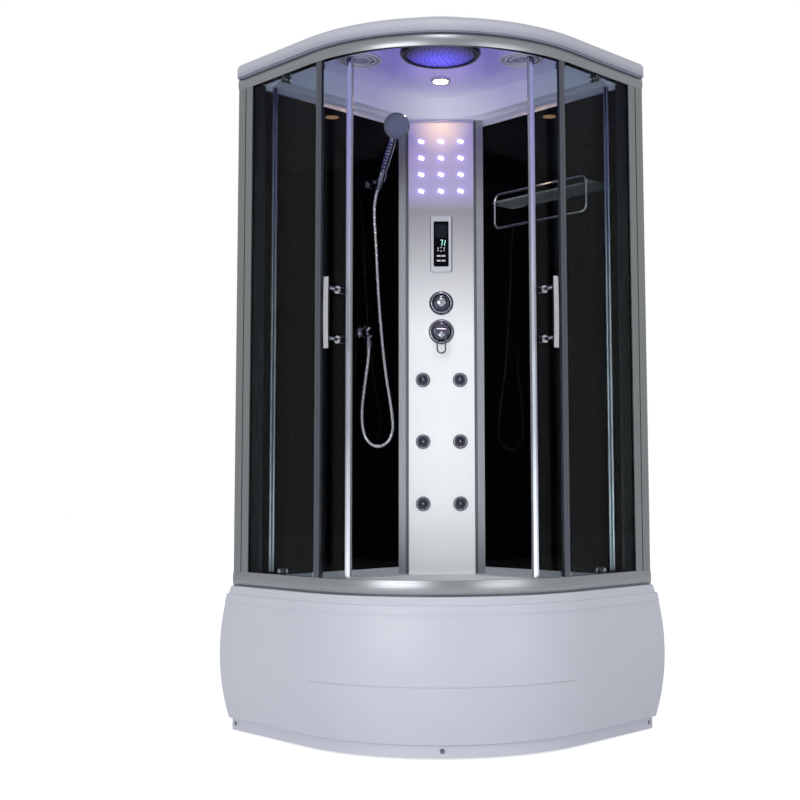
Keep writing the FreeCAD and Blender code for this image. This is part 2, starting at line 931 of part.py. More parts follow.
def make_waste():
    """The waste fitting: a flange in the tub, a pot below and a pipe towards the left wall."""
    body = new_body("waste_outlet")
    floor = d.basin_floor_height
    base = d.drain_pot_base
    top = base + d.drain_pot_height
    neck = d.drain_neck_radius
    wall = d.drain_wall
    stem = d.plug_stem_radius + d.running_play
    under = floor - d.tub_wall
    outline = [(0, base), (d.drain_pot_radius, base), (d.drain_pot_radius, top), (neck, top), (neck, floor),
               (d.drain_flange_radius, floor), (d.drain_flange_radius - wall, floor + d.drain_flange_height),
               (stem, floor + d.drain_flange_height), (stem, under - d.plug_stem_length / 2),
               (neck - wall, under - d.plug_stem_length / 2), (neck - wall, top - wall),
               (d.drain_pot_radius - wall, top - wall), (d.drain_pot_radius - wall, base + wall),
               (0, base + wall)]
    revolve(body, "XZ", outline)
    start = d.drain_pot_radius - wall / 2
    sleeve_end = d.drain_from_wall - d.drain_pipe_end - d.drain_spigot_length
    bore = (0, d.drain_pipe_height, d.drain_pipe_radius - d.drain_pipe_wall)
    extrude(body, "XZ", [(0, d.drain_pipe_height, d.drain_sleeve_radius), bore], start, sleeve_end - start)
    spigot = (0, d.drain_pipe_height, d.drain_pipe_radius)
    extrude(body, "XZ", [spigot, bore], sleeve_end, d.drain_spigot_length)
    x, y = square_point(d.drain_from_wall, d.drain_from_wall)
    return node(place(body, x, y, 0, 45))


def make_plug():
    body = new_body("drain_plug")
    foot = d.basin_floor_height + d.drain_flange_height + d.seat_gap
    top = foot + d.plug_thickness
    low = foot - d.plug_stem_length
    stem = d.plug_stem_radius
    outline = [(0, low), (stem, low), (stem, foot), (d.plug_radius, foot),
               (d.plug_radius, top - d.plug_thickness / 2),
               (d.plug_radius - d.plug_thickness / 2, top), (0, top)]
    revolve(body, "XZ", outline)
    x, y = square_point(d.drain_from_wall, d.drain_from_wall)
    return node(place(body, x, y, 0, 0))


# Rails, posts, strips and fixed glass
def rail(label, foot, high, opening_up):
    """A hollow rail round the front: a crowned face, a channel for the fixed glass and a flat track."""
    body = new_body(label)
    side = d.wall_side
    top = foot + high
    skirt = 0 if opening_up else d.top_rail_skirt
    crown = crown_radius(high + skirt, d.rail_crown)
    face = side - d.rail_crown
    wall = d.rail_wall
    outer = side - d.fixed_glass_offset + d.glass_play
    inner = side - d.fixed_glass_offset - d.fixed_glass_thickness - d.glass_play
    lip = side - d.glass_channel_wall
    chamber = rectangle(rail_inner + wall, foot + wall, lip - wall, top - d.track_sink - wall)
    if opening_up:
        deep = top - d.glass_channel_depth
        track = top - d.track_sink
        outline = [(rail_inner, foot), (face, foot, crown), (face, top), (outer, top), (outer, deep),
                   (inner, deep),
                   (inner, top), (lip, top), (lip, track), (rail_inner, track)]
    else:
        deep = foot + d.glass_channel_depth
        outline = [(rail_inner, foot), (inner, foot), (inner, deep), (outer, deep), (outer, foot - skirt),
                   (face, foot - skirt, crown), (face, top), (rail_inner, top)]
    sweep(body, sketch(body, "XZ", [outline, chamber]), front_path(body))
    return node(in_square(body))


def make_post():
    body = new_body("left_post")
    side = d.wall_side
    near = side - d.post_along_wall
    far = d.post_along_front
    outer = side - d.fixed_glass_offset + d.glass_play
    inner = side - d.fixed_glass_offset - d.fixed_glass_thickness - d.glass_play
    deep = far - d.post_front_groove
    seat = near + d.post_groove
    line = d.post_line_along
    line_end = line + d.post_line_width
    front = side - d.post_recess
    outline = [(near, 0), (side - d.post_round, 0, d.post_round), (side, d.post_round), (side, line),
               (side - d.post_line_depth, line), (side - d.post_line_depth, line_end), (front, line_end),
               (front, far), (outer, far), (outer, deep), (inner, deep), (inner, far), (near, far),
               (near, wall_face + d.glass_play), (seat, wall_face + d.glass_play),
               (seat, d.wall_back - d.glass_play), (near, d.wall_back - d.glass_play)]
    wall = d.post_wall
    chamber = rectangle(seat + wall, wall, inner - wall, far - wall)
    extrude(body, "XY", [outline, chamber], glass_foot, d.door_opening_height)
    under_skirt = rectangle(outer - d.seat_gap, -d.overrun, side + d.overrun, far + d.overrun)
    cut(body, "XY", [under_skirt], glass_head - d.top_rail_skirt, d.top_rail_skirt + d.overrun)
    return in_square(body)


def make_edge_strip():
    """A channel on the free edge of the fixed glass."""
    body = new_body("left_edge_strip")
    outer = arc_radius - d.strip_face_offset
    inner = outer - d.strip_depth
    glass = arc_radius - d.fixed_glass_offset
    left = d.strip_lip - d.strip_width
    slot_out = glass + d.glass_play
    slot_in = glass - d.fixed_glass_thickness - d.glass_play * 2
    end = d.seat_gap
    edge = outer - d.strip_crown
    crown = crown_radius(d.strip_width, d.strip_crown)
    outline = [(left, -edge, crown), (d.strip_lip, -edge), (d.strip_lip, -inner), (left, -inner),
               (left, -slot_in),
               (end, -slot_in), (end, -slot_out), (left, -slot_out)]
    extrude(body, "XY", [outline], glass_foot, d.door_opening_height)
    over = d.overrun
    under_skirt = rectangle(left - over, -(outer + over), d.strip_lip + over, -(slot_out - d.seat_gap))
    cut(body, "XY", [under_skirt], glass_head - d.top_rail_skirt, d.top_rail_skirt + over)
    return on_arc(body, 45 - d.fixed_glass_turn_angle)


def make_fixed_glass():
    body = new_body("left_fixed_glass")
    outer = d.wall_side - d.fixed_glass_offset
    inner = outer - d.fixed_glass_thickness
    run = d.side_run
    start = d.post_along_front - d.post_front_groove + d.glass_play
    turn = d.fixed_glass_turn_angle
    outer_radius = outer - run
    inner_radius = inner - run
    outline = [(outer, start), (outer, run, outer_radius),
               (run + outer_radius * cosine(turn), run + outer_radius * sine(turn)),
               (run + inner_radius * cosine(turn), run + inner_radius * sine(turn), -inner_radius),
               (inner, run), (inner, start)]
    sink = d.glass_channel_depth - d.glass_play
    extrude(body, "XY", [outline], glass_foot - sink, d.door_opening_height + sink * 2)
    return in_square(body)


def trim_foot_along():
    """Where the column trim's slanted side starts on the wall, from the corner."""
    return d.column_depth / slant - wall_face - d.trim_back / slant


def make_wall_glass():
    body = new_body("left_wall_glass")
    start = trim_foot_along()
    end = d.wall_side - d.post_along_wall + d.post_groove - d.glass_play
    floor = d.wall_strip_floor + d.glass_play
    plan = rectangle(start, d.wall_back, end, wall_face)
    extrude(body, "XY", [plan], d.rim_height + floor, roof_foot - d.rim_height - floor * 2)
    return in_square(body)


def make_wall_strips():
    """Channels on the rim and under the roof that hold the wall glass."""
    strips = []
    start = (d.column_depth + d.trim_proud) / slant - wall_face + d.seat_gap * 2
    front = wall_face + d.wall_strip_proud
    slot = (d.wall_back - d.glass_play, wall_face + d.glass_play)
    for label, foot, sign in (("foot_strip", d.rim_height, 1), ("head_strip", roof_foot, -1)):
        body = new_body(label)
        edge = foot + d.wall_strip_height * sign
        web = foot + d.wall_strip_floor * sign
        outline = [(d.wall_strip_back, foot), (front, foot), (front, edge), (slot[1], edge), (slot[1], web),
                   (slot[0], web), (slot[0], edge), (d.wall_strip_back, edge)]
        extrude(body, "YZ", [outline], start, rail_inner - d.seat_gap - start)
        strips.append(in_square(body))
    return strips


# Column panel and what is on it
def jet_places():
    return [(side, d.jet_top_height - d.jet_pitch * row) for row in range(3) for side in (-1, 1)]


def make_column():
    body = new_body("column_panel")
    half = d.column_half_width
    back = d.column_return
    skin = d.column_thickness
    outline = [(-half, 0), (half, 0), (half, back), (half - skin, back), (half - skin, skin),
               (skin - half, skin),
               (skin - half, back), (-half, back)]
    extrude(body, "XY", [outline], d.rim_height, roof_foot - d.rim_height - d.seat_gap)
    tail_hole = d.jet_tail_radius + d.screw_play
    holes = [(d.jet_spread * side, height, tail_hole) for side, height in jet_places()]
    holes += [(0, diverter_height, d.knob_stem_radius + d.overrun),
              (0, mixer_height, d.cap_stem_radius + d.overrun)]
    holes += [(x, z, d.led_radius + d.screw_play) for x, z in led_places()]
    cut(body, "XZ", holes, -d.overrun, skin + d.overrun * 2)
    return node(on_column(body))


def led_places():
    return [(d.led_column_pitch * column, led_top_height - d.led_row_pitch * row)
            for row in range(4) for column in (-1, 0, 1)]


def make_trim():
    """The slanted profile between the column's face and the left wall."""
    body = new_body("left_column_trim")
    edge = d.column_half_width + d.seat_gap
    reach = d.column_depth - wall_face / slant - d.seat_gap / slant
    proud = d.trim_proud
    back = d.trim_back
    outline = [(-(reach + proud), -proud), (-edge, -proud), (-edge, back), (-(reach - back), back)]
    extrude(body, "XY", [outline], d.rim_height, roof_foot - d.rim_height - d.seat_gap)
    return on_column(body)


def make_leds():
    body = new_body("led_windows")
    lenses = [(x, z, d.led_radius) for x, z in led_places()]
    extrude(body, "XZ", lenses, -d.led_proud, d.led_proud + d.led_tail)
    return node(on_column(body))


def make_controls():
    bezel = new_body("control_bezel")
    extrude(bezel, "XZ", [centred(d.bezel_width, d.bezel_tall, d.bezel_round)], -d.bezel_proud,
            d.bezel_proud)
    play = d.seat_gap * 2
    pocket = centred(d.display_width + play, d.display_tall + play, d.bezel_round / 2)
    cut(bezel, "XZ", [pocket], -(d.bezel_proud + d.overrun),
        d.overrun + d.display_sink + d.display_thickness)
    node(on_column(bezel, 0, d.display_height))
    display = new_body("display_glass")
    outline = centred(d.display_width, d.display_tall, d.bezel_round / 2)
    extrude(display, "XZ", [outline], -(d.bezel_proud - d.display_sink), d.display_thickness)
    node(on_column(display, 0, d.display_height))


def rosette(label, radius, stem_radius, height):
    body = new_body(label)
    bore = stem_radius + d.running_play
    outline = [(bore, 0), (bore, -d.rosette_proud), (d.rosette_boss_radius, -d.rosette_proud),
               (radius, -d.rosette_edge), (radius, 0)]
    revolve(body, "XY", outline)
    return on_column(body, 0, height)


def make_diverter_knob():
    body = new_body("diverter_knob")
    back = d.rosette_proud + d.knob_gap
    front = back + d.knob_length
    edge = d.knob_edge
    radius = d.knob_radius
    outline = [(0, -front), (radius - edge, -front, edge), (radius, edge - front), (radius, -back),
               (d.knob_stem_radius, -back), (d.knob_stem_radius, d.stem_reach), (0, d.stem_reach)]
    revolve(body, "XY", outline)
    around = [360 / float(d.knob_flute_count) * number for number in range(int(float(d.knob_flute_count)))]
    reach = radius + d.knob_flute_radius / 2
    places = [(reach * cosine(angle + 30), reach * sine(angle + 30)) for angle in around]
    flutes = [(x, z, d.knob_flute_radius) for x, z in places]
    cut(body, "XZ", flutes, -(front + d.overrun), d.knob_length + d.overrun - edge)
    return node(on_column(body, 0, diverter_height))


def make_mixer_cap():
    """The mixer's cap: it turns for warmth, and holds the lever in a slot."""
    body = new_body("mixer_cap")
    back = d.rosette_proud + d.knob_gap
    front = back + d.cap_length
    edge = d.cap_edge
    radius = d.cap_radius
    outline = [(0, -front), (radius - edge, -front, edge), (radius, edge - front), (radius, -back),
               (d.cap_stem_radius, -back), (d.cap_stem_radius, d.stem_reach), (0, d.stem_reach)]
    revolve(body, "XY", outline)
    half = d.lever_hub_width / 2 + d.lever_slot_play
    play = d.lever_hub_radius + d.lever_slot_play
    depth = lever_depth()
    slot = [(-(depth + play), -play), (-(front + d.overrun), -play), (-(front + d.overrun), play),
            (play - depth, play),
            (play - depth, -play)]
    cut(body, "YZ", [slot[1:]], -half, half * 2)
    bore = (-depth, 0, d.lever_pin_radius + d.running_play)
    cut(body, "YZ", [bore], -(radius + d.overrun), (radius + d.overrun) * 2)
    return node(on_column(body, 0, mixer_height))


def lever_depth():
    """The lever's pin stands this far in front of the column's face."""
    return d.rosette_proud + d.knob_gap + d.cap_length - d.lever_hub_radius / 2


def make_lever():
    body = new_body("mixer_lever")
    depth = lever_depth()
    half = d.lever_hub_width / 2
    extrude(body, "YZ", [(-depth, 0, d.lever_hub_radius)], -half, d.lever_hub_width)
    extrude(body, "YZ", [(-depth, 0, d.lever_pin_radius)], -d.lever_pin_length / 2, d.lever_pin_length)
    out = depth + d.lever_hub_radius - d.lever_wire_radius / 2
    side = d.lever_half_width
    leg = -d.lever_leg
    path = sketch(body, "XZ", [[(-side, -d.overrun), (-side, leg, side), (0, leg - side, side), (side, leg),
                                (side, -d.overrun)]], -out, closed=False)
    profile = sketch(body, "XY", [(-side, -out, d.lever_wire_radius)], -d.overrun)
    sweep(body, profile, path)
    return node(on_column(body, 0, mixer_height))


def make_valves():
    """Behind the panel: the mixer with its two inlets, the diverter and the riser between them."""
    start = d.column_thickness + d.valve_gap
    mixer = new_body("mixer_block")
    outline = centred(d.valve_width, d.valve_tall, d.valve_gap)
    extrude(mixer, "XZ", [outline], start, d.valve_depth)
    extrude(mixer, "XZ", [(0, 0, d.valve_collar_radius)], d.column_thickness + d.seat_gap, start)
    inlets = [(d.inlet_spacing / 2 * side, 0, d.inlet_radius) for side in (-1, 1)]
    extrude(mixer, "XZ", inlets, start + d.valve_depth - d.overrun, d.inlet_length + d.overrun)
    cut(mixer, "XZ", [(0, 0, d.cap_stem_radius + d.running_play)], 0, d.stem_reach + d.overrun)
    on_column(mixer, 0, mixer_height)
    diverter = new_body("diverter_block")
    extrude(diverter, "XZ", [centred(d.valve_tall, d.valve_tall, d.valve_gap)], start, d.valve_depth)
    extrude(diverter, "XZ", [(0, 0, d.valve_collar_radius)], d.column_thickness + d.seat_gap, start)
    cut(diverter, "XZ", [(0, 0, d.knob_stem_radius + d.running_play)], 0, d.stem_reach + d.overrun)
    on_column(diverter, 0, diverter_height)
    riser = new_body("riser_pipe")
    low = mixer_height + d.valve_tall / 2
    extrude(riser, "XY", [(0, start + d.valve_depth / 2, d.riser_radius)], low,
            diverter_height - low - d.valve_tall / 2)
    on_column(riser)
    return node(group("mixer_valve", [mixer, diverter, riser]))


def make_jets():
    """Six eyeball jets: a flanged socket in the panel and a ball that tilts in it."""
    sink = d.jet_ball_sink
    socket = d.jet_ball_radius + d.jet_ball_play
    lip = root(socket * socket - d.jet_lip * d.jet_lip)
    flange = d.jet_flange_radius
    front = -(d.jet_lip - sink)
    chamfer = d.jet_flange_chamfer
    tail = d.jet_tail_radius
    ball = d.jet_ball_radius
    bore = d.jet_bore_radius
    ball_front = root(ball * ball - d.jet_ball_front * d.jet_ball_front)
    ball_back = root(ball * ball - d.jet_ball_back * d.jet_ball_back)
    sockets = []
    for number, (side, height) in enumerate(jet_places(), 1):
        body = new_body("jet_socket_%d" % number)
        outline = [(lip, front), (flange - chamfer, front), (flange, front + chamfer), (flange, 0),
                   (tail, 0),
                   (tail, d.jet_tail_length), (lip, d.jet_tail_length), (lip, sink + d.jet_lip, -socket)]
        revolve(body, "XY", outline)
        sockets.append(on_column(body, d.jet_spread * side, height))
        nozzle = new_body("jet_nozzle_%d" % number)
        outline = [(bore, sink - d.jet_ball_front), (ball_front, sink - d.jet_ball_front, ball),
                   (ball_back, sink + d.jet_ball_back), (bore, sink + d.jet_ball_back)]
        revolve(nozzle, "XY", outline)
        node(on_column(nozzle, d.jet_spread * side, height))
    return node(group("jet_sockets", sockets))


# Roof and ceiling
def make_roof():
    body = new_body("roof_cover")
    back = -d.roof_overhang
    out = -d.roof_front_overhang
    bend = d.roof_edge_round
    flat = d.roof_edge_flat
    corner = d.roof_corner
    edge_foot = roof_lip_top - bend
    extrude(body, "XY", [quadrant(back, out, corner, corner)], roof_foot, d.roof_lip_height - bend)

    def ring(inset, height):
        return sketch(body, "XY", [quadrant(back + inset, out + inset, corner, corner)], height)

    loft(body, [ring(0, edge_foot), ring(flat, roof_lip_top - flat)])
    loft(body, [ring(flat, roof_lip_top - flat), ring(bend, roof_lip_top)])

    def section(inset, height):
        return sketch(body, "XY", [quadrant(inset, inset, d.dome_corner, d.dome_corner)], height)

    wall = d.roof_wall
    top = roof_lip_top + d.roof_dome_height
    loft(body, [section(d.dome_foot_inset, roof_lip_top), section(d.dome_top_inset, top)])
    inner = back + wall
    low = quadrant(inner, inner, corner, corner)
    cut(body, "XY", [low], roof_foot, d.roof_lip_height - bend)
    high = quadrant(inner + bend, inner + bend, corner, corner)
    cut(body, "XY", [high], edge_foot, bend - wall)
    hollow = [section(d.dome_foot_inset + wall, roof_lip_top - wall),
              section(d.dome_top_inset + wall, top - wall)]
    loft(body, hollow, "Subtractive")
    return node(in_square(body))


def make_ceiling():
    """The inner moulding: a flange on the rails, a sloped cove and a flat panel with its cut-outs."""
    body = new_body("ceiling_panel")
    wall = d.ceiling_wall
    edge = d.roof_wall - d.roof_overhang + d.seat_gap
    flange = quadrant(edge, edge, d.roof_corner, d.roof_corner)
    extrude(body, "XY", [flange], roof_foot, wall)

    def section(inset, height):
        return sketch(body, "XY", [quadrant(inset, inset, d.ceiling_back_corner, d.ceiling_corner)], height)

    inset = d.ceiling_flange
    top_inset = inset + d.ceiling_cove
    loft(body, [section(inset - wall, roof_foot), section(top_inset - wall, ceiling_height + wall)])
    loft(body, [section(inset, roof_foot), section(top_inset, ceiling_height)], "Subtractive")
    in_square(body)
    holes = new_body("ceiling_holes")
    mouth = d.vent_mouth_radius
    circles = [(d.vent_aside * side, -vent_forward, mouth) for side in (-1, 1)]
    circles += [(0, -d.lamp_forward, d.lamp_radius + d.seat_gap)]
    extrude(holes, "XY", circles, ceiling_height - d.overrun, wall + d.overrun * 2)
    place(holes, 0, corner_y, 0, 0)
    return node(combine("Cut", "ceiling", body, holes))


def under_ceiling(thing, x, forward):
    return place(thing, x, corner_y - forward, ceiling_height, 0)


def make_rain_head():
    head = new_body("rain_head")
    drop = d.rain_head_drop
    thick = d.rain_head_thickness
    radius = d.rain_head_radius
    sink = d.rain_head_sink
    inner = radius - d.rain_head_rim
    stem = d.rain_stem_radius
    outline = [(0, -d.seat_gap), (0, sink - drop), (inner, sink - drop), (inner + sink, -drop),
               (radius - sink, -drop),
               (radius, thick / 2 - drop), (radius, thick - drop), (stem * 2, thick - drop + sink / 2),
               (stem, thick - drop + sink / 2), (stem, -d.seat_gap)]
    revolve(head, "XZ", outline)
    node(under_ceiling(head, 0, d.rain_head_forward))
    plate = new_body("rain_plate")
    extrude(plate, "XY", [(0, 0, inner - d.seat_gap)], sink - drop - d.rain_plate_thickness,
            d.rain_plate_thickness)
    node(under_ceiling(plate, 0, d.rain_head_forward))


def make_lamp():
    bezel = new_body("lamp_bezel")
    radius = d.lamp_radius
    outer = d.lamp_bezel_radius
    low = -d.lamp_bezel_thickness
    outline = [(radius + d.seat_gap, 0), (radius + d.seat_gap, low),
               (outer - d.lamp_bezel_thickness / 2, low),
               (outer, low / 2), (outer, 0)]
    revolve(bezel, "XZ", outline)
    lens = new_body("lamp_lens")
    drop = -d.lamp_drop
    outline = [(0, drop), (radius - d.lamp_drop, drop), (radius, low), (radius, d.ceiling_wall),
               (0, d.ceiling_wall)]
    revolve(lens, "XZ", outline)
    node(under_ceiling(lens, 0, d.lamp_forward))
    return under_ceiling(bezel, 0, d.lamp_forward)


def make_vent():
    """A round grille of rings and a cross, in front of a mouth in the ceiling."""
    body = new_body("left_vent_grille")
    mouth = d.vent_mouth_radius
    ring = d.vent_ring_radius
    small = d.vent_inner_ring_radius
    width = d.vent_ring_width
    circles = [(0, 0, d.vent_radius), (0, 0, mouth), (0, 0, ring), (0, 0, ring - width), (0, 0, small)]
    extrude(body, "XY", circles, -d.vent_thickness, d.vent_thickness)
    bar = d.vent_bar / 2
    reach = mouth + bar
    for outline in (rectangle(-reach, -bar, reach, bar), rectangle(-bar, -reach, bar, reach)):
        extrude(body, "XY", [outline], -d.vent_thickness, d.vent_thickness - d.seat_gap)
    return under_ceiling(body, -d.vent_aside, vent_forward)


def make_fan():
    """The extractor behind the left grille: a duct with a spider and a pin, and a bladed rotor on it."""
    duct = new_body("fan_duct")
    outer = d.vent_mouth_radius + d.fan_duct_wall
    foot = d.ceiling_wall
    top = foot + d.fan_duct_height
    extrude(duct, "XY", [(0, 0, outer), (0, 0, d.vent_mouth_radius)], foot, d.fan_duct_height)
    reach = d.vent_mouth_radius + d.fan_duct_wall / 2
    bar = d.vent_bar / 2
    for outline in (rectangle(-reach, -bar, reach, bar), rectangle(-bar, -reach, bar, reach)):
        extrude(duct, "XY", [outline], top - d.fan_spider, d.fan_spider)
    extrude(duct, "XY", [(0, 0, d.fan_hub_radius)], top - d.fan_spider, d.fan_spider)
    low = foot + d.fan_spider
    extrude(duct, "XY", [(0, 0, d.fan_shaft_radius)], low, top - low)
    under_ceiling(duct, -d.vent_aside, vent_forward)
    rotor = new_body("fan_rotor")
    extrude(rotor, "XY", [(0, 0, d.fan_hub_radius)], low, d.fan_hub_height)
    tip = d.vent_mouth_radius - d.fan_tip_gap
    thick = d.fan_blade_thickness
    middle = low + d.fan_hub_height / 2
    tall = d.fan_blade_tall / 2
    blade = [(-thick * 2, middle - tall), (-thick, middle - tall), (thick * 2, middle + tall),
             (thick, middle + tall)]
    feature = extrude(rotor, "XZ", [blade], d.fan_hub_radius / 2, tip - d.fan_hub_radius / 2)
    pattern = rotor.newObject("PartDesign::PolarPattern", "blades")
    pattern.Originals = [feature]
    pattern.Axis = ([item for item in rotor.Origin.OriginFeatures if item.Role == "Z_Axis"][0], [""])
    pattern.Angle = 360
    bind(pattern, "Occurrences", d.fan_blade_count)
    rotor.Tip = pattern
    cut(rotor, "XY", [(0, 0, d.fan_shaft_radius + d.running_play)], low - d.overrun,
        d.fan_hub_height + d.overrun * 2)
    node(under_ceiling(rotor, -d.vent_aside, vent_forward))
    return duct


def make_speaker():
    body = new_body("speaker")
    radius = d.speaker_radius
    foot = d.ceiling_wall
    flange = d.vent_mouth_radius + d.fan_duct_wall * 2
    deep = foot + d.speaker_depth
    outline = [(0, foot + d.fan_hub_radius), (d.fan_hub_radius, foot + d.fan_hub_radius),
               (radius, foot + d.seat_gap),
               (radius, foot), (flange, foot), (flange, foot + d.fan_duct_wall),
               (radius, foot + d.fan_duct_wall * 2),
               (d.fan_hub_radius * 2, deep - d.fan_hub_radius), (d.fan_hub_radius * 2, deep), (0, deep)]
    revolve(body, "XZ", outline)
    return under_ceiling(body, d.vent_aside, vent_forward)


# Doors
def radial(body, corners):
    """Turned about the line from the front's axis to the front."""
    revolve(body, "XY", corners)
    return body


wheel_centre = arc_radius - d.wheel_offset
door_outer = arc_radius - d.door_glass_offset
door_inner = door_outer - d.door_glass_thickness
wheel_low = track_height + d.seat_gap + d.wheel_radius
wheel_high = glass_head - d.seat_gap - d.wheel_radius
wheel_places = [("lead_top", d.wheel_lead_angle, wheel_high), ("lead_bottom", d.wheel_lead_angle, wheel_low),
                ("trail_top", d.wheel_trail_angle, wheel_high),
                ("trail_bottom", d.wheel_trail_angle, wheel_low)]
handle_places = [d.handle_height - d.handle_post_spacing / 2, d.handle_height + d.handle_post_spacing / 2]


def make_door_glass():
    sheet_body = new_body("left_door_pane")
    outline = sector(door_outer, door_inner, d.door_glass_lead_angle, d.door_glass_trail_angle)
    foot = track_height + d.door_glass_gap
    extrude(sheet_body, "XY", [outline], foot, glass_head - d.door_glass_gap - foot)
    on_door(sheet_body)
    cutters = []
    start = -(door_outer + d.overrun)
    length = d.door_glass_thickness + d.overrun * 2
    places = [(angle, height, d.hub_hole_radius) for label, angle, height in wheel_places]
    places += [(d.handle_angle, height, d.handle_hole_radius) for height in handle_places]
    for number, (angle, height, radius) in enumerate(places):
        hole = new_body("door_hole_%d" % number)
        extrude(hole, "XZ", [(0, 0, radius)], start, length)
        cutters.append(on_door(hole, angle, height))
    return combine("Cut", "left_door_glass", sheet_body, group("door_holes", cutters))


def channel(body, left, right, slot_left, slot_right, bevel=(0, 0)):
    """An upright channel that holds an edge of the door glass, its face bevelled towards the glass."""
    outer = door_outer + d.lead_proud
    inner = door_inner - d.lead_back
    slot_out = door_outer + d.glass_play
    slot_in = door_inner - d.lead_slot_sag
    if float(slot_left) > float(left):
        outline = [(left, -outer), (right, -outer), (right, -slot_out), (slot_left, -slot_out),
                   (slot_left, -slot_in),
                   (right, -slot_in), (right, -inner), (left, -inner)]
    else:
        bevel_width, bevel_drop = bevel
        outline = [(left, bevel_drop - outer), (left + bevel_width, -outer), (right, -outer),
                   (right, -inner),
                   (left, -inner), (left, -slot_in), (slot_right, -slot_in), (slot_right, -slot_out),
                   (left, -slot_out)]
    foot = track_height + d.door_glass_gap + d.lead_end_gap
    extrude(body, "XY", [outline], foot, glass_head - d.door_glass_gap - d.lead_end_gap - foot)


def make_door_profiles():
    lead = new_body("left_lead_profile")
    right = -d.lead_gap
    left = right - d.lead_width
    channel(lead, left, right, left, right - d.lead_web, (d.lead_bevel_width, d.lead_bevel_drop))
    trail = new_body("left_trail_profile")
    width = d.trail_width
    web = width / 4
    channel(trail, -web, width - web, -d.seat_gap, width - web)
    return group("left_door_profiles", [on_door(lead), on_door(trail, d.door_glass_trail_angle)])


def make_hub(label, angle, height):
    """Pin, collar, bush and inside knob of a roller, through the glass."""
    body = new_body(label)
    half = d.wheel_thickness / 2 + d.wheel_side_gap
    cap_in = -(wheel_centre + half)
    cap_out = cap_in - d.hub_cap_thickness
    collar = half - wheel_centre
    knob = d.seat_gap - door_inner
    end = knob + d.hub_knob_thickness
    outline = [(0, cap_out), (d.hub_cap_radius, cap_out), (d.hub_cap_radius, cap_in),
               (d.wheel_pin_radius, cap_in),
               (d.wheel_pin_radius, collar), (d.hub_collar_radius, collar),
               (d.hub_collar_radius, -door_outer),
               (d.hub_bush_radius, -door_outer), (d.hub_bush_radius, knob), (d.hub_knob_radius, knob),
               (d.hub_knob_radius, end - d.hub_cap_thickness), (d.hub_cap_radius, end), (0, end)]
    return on_door(radial(body, outline), angle, height)


def make_wheel(label, angle, height):
    body = new_body(label)
    half = d.wheel_thickness / 2
    bore = d.wheel_pin_radius + d.running_play
    rim = d.wheel_radius
    groove = rim - d.wheel_groove
    third = half / 2
    outline = [(bore, -wheel_centre - half), (rim, -wheel_centre - half), (rim, -wheel_centre - third),
               (groove, -wheel_centre - third / 2), (groove, third / 2 - wheel_centre),
               (rim, third - wheel_centre),
               (rim, half - wheel_centre), (bore, half - wheel_centre)]
    return on_door(radial(body, outline), angle, height)


def make_handle():
    """A flat upright bar on two posts, with a knob on the inside of the glass."""
    bar = new_body("handle_bar")
    inner = -(door_outer + d.handle_reach - d.handle_thickness / 2)
    outer = inner - d.handle_thickness + d.handle_crown
    half = d.handle_length / 2
    outline = [(inner, -half), (inner, half), (outer, half, crown_radius(d.handle_length, d.handle_crown)),
               (outer, -half)]
    extrude(bar, "YZ", [outline], -d.handle_width / 2, d.handle_width)
    pieces = [on_door(bar, d.handle_angle, d.handle_height)]
    for number, height in enumerate(handle_places):
        post = new_body("handle_post_%d" % number)
        face = -door_outer
        knob = d.seat_gap - door_inner
        end = knob + d.handle_knob_thickness
        outline = [(0, inner), (d.handle_post_radius, inner),
                   (d.handle_post_radius, face - d.handle_collar_thickness),
                   (d.handle_collar_radius, face - d.handle_collar_thickness),
                   (d.handle_collar_radius, face),
                   (d.handle_bush_radius, face), (d.handle_bush_radius, knob),
                   (d.handle_collar_radius, knob),
                   (d.handle_collar_radius, end - d.handle_crown),
                   (d.handle_collar_radius - d.handle_crown, end),
                   (0, end)]
        pieces.append(on_door(radial(post, outline), d.handle_angle, height))
    return pieces


def make_doors():
    glass = make_door_glass()
    profiles = make_door_profiles()
    hubs = [make_hub("hub_" + label, angle, height) for label, angle, height in wheel_places]
    fittings = group("left_door_fittings", make_handle() + hubs)
    wheels = [make_wheel("left_wheel_" + label, angle, height) for label, angle, height in wheel_places]
    for thing in [glass, profiles, fittings] + wheels:
        node(thing)
        node(mirrored(thing.Name.replace("left", "right"), thing))


# Hand shower, hose and outlet
def lean_placement():
    """The hand shower's own frame: Z along its handle, Y out of its face."""
    lean = Rotation(Vector(1, 0, 0), -float(d.holder_lean_angle))
    turn = Rotation(Vector(0, 0, 1), -135)
    return Placement(wall_point(d.holder_along, d.holder_reach, d.holder_height), turn.multiply(lean))


def wall_point(along, out, height):
    """A place on the left wall."""
    reach = float(out) + float(wall_face)
    along = float(along)
    return Vector((reach - along) * float(slant), float(corner_y) - (reach + along) * float(slant),
                  float(height))


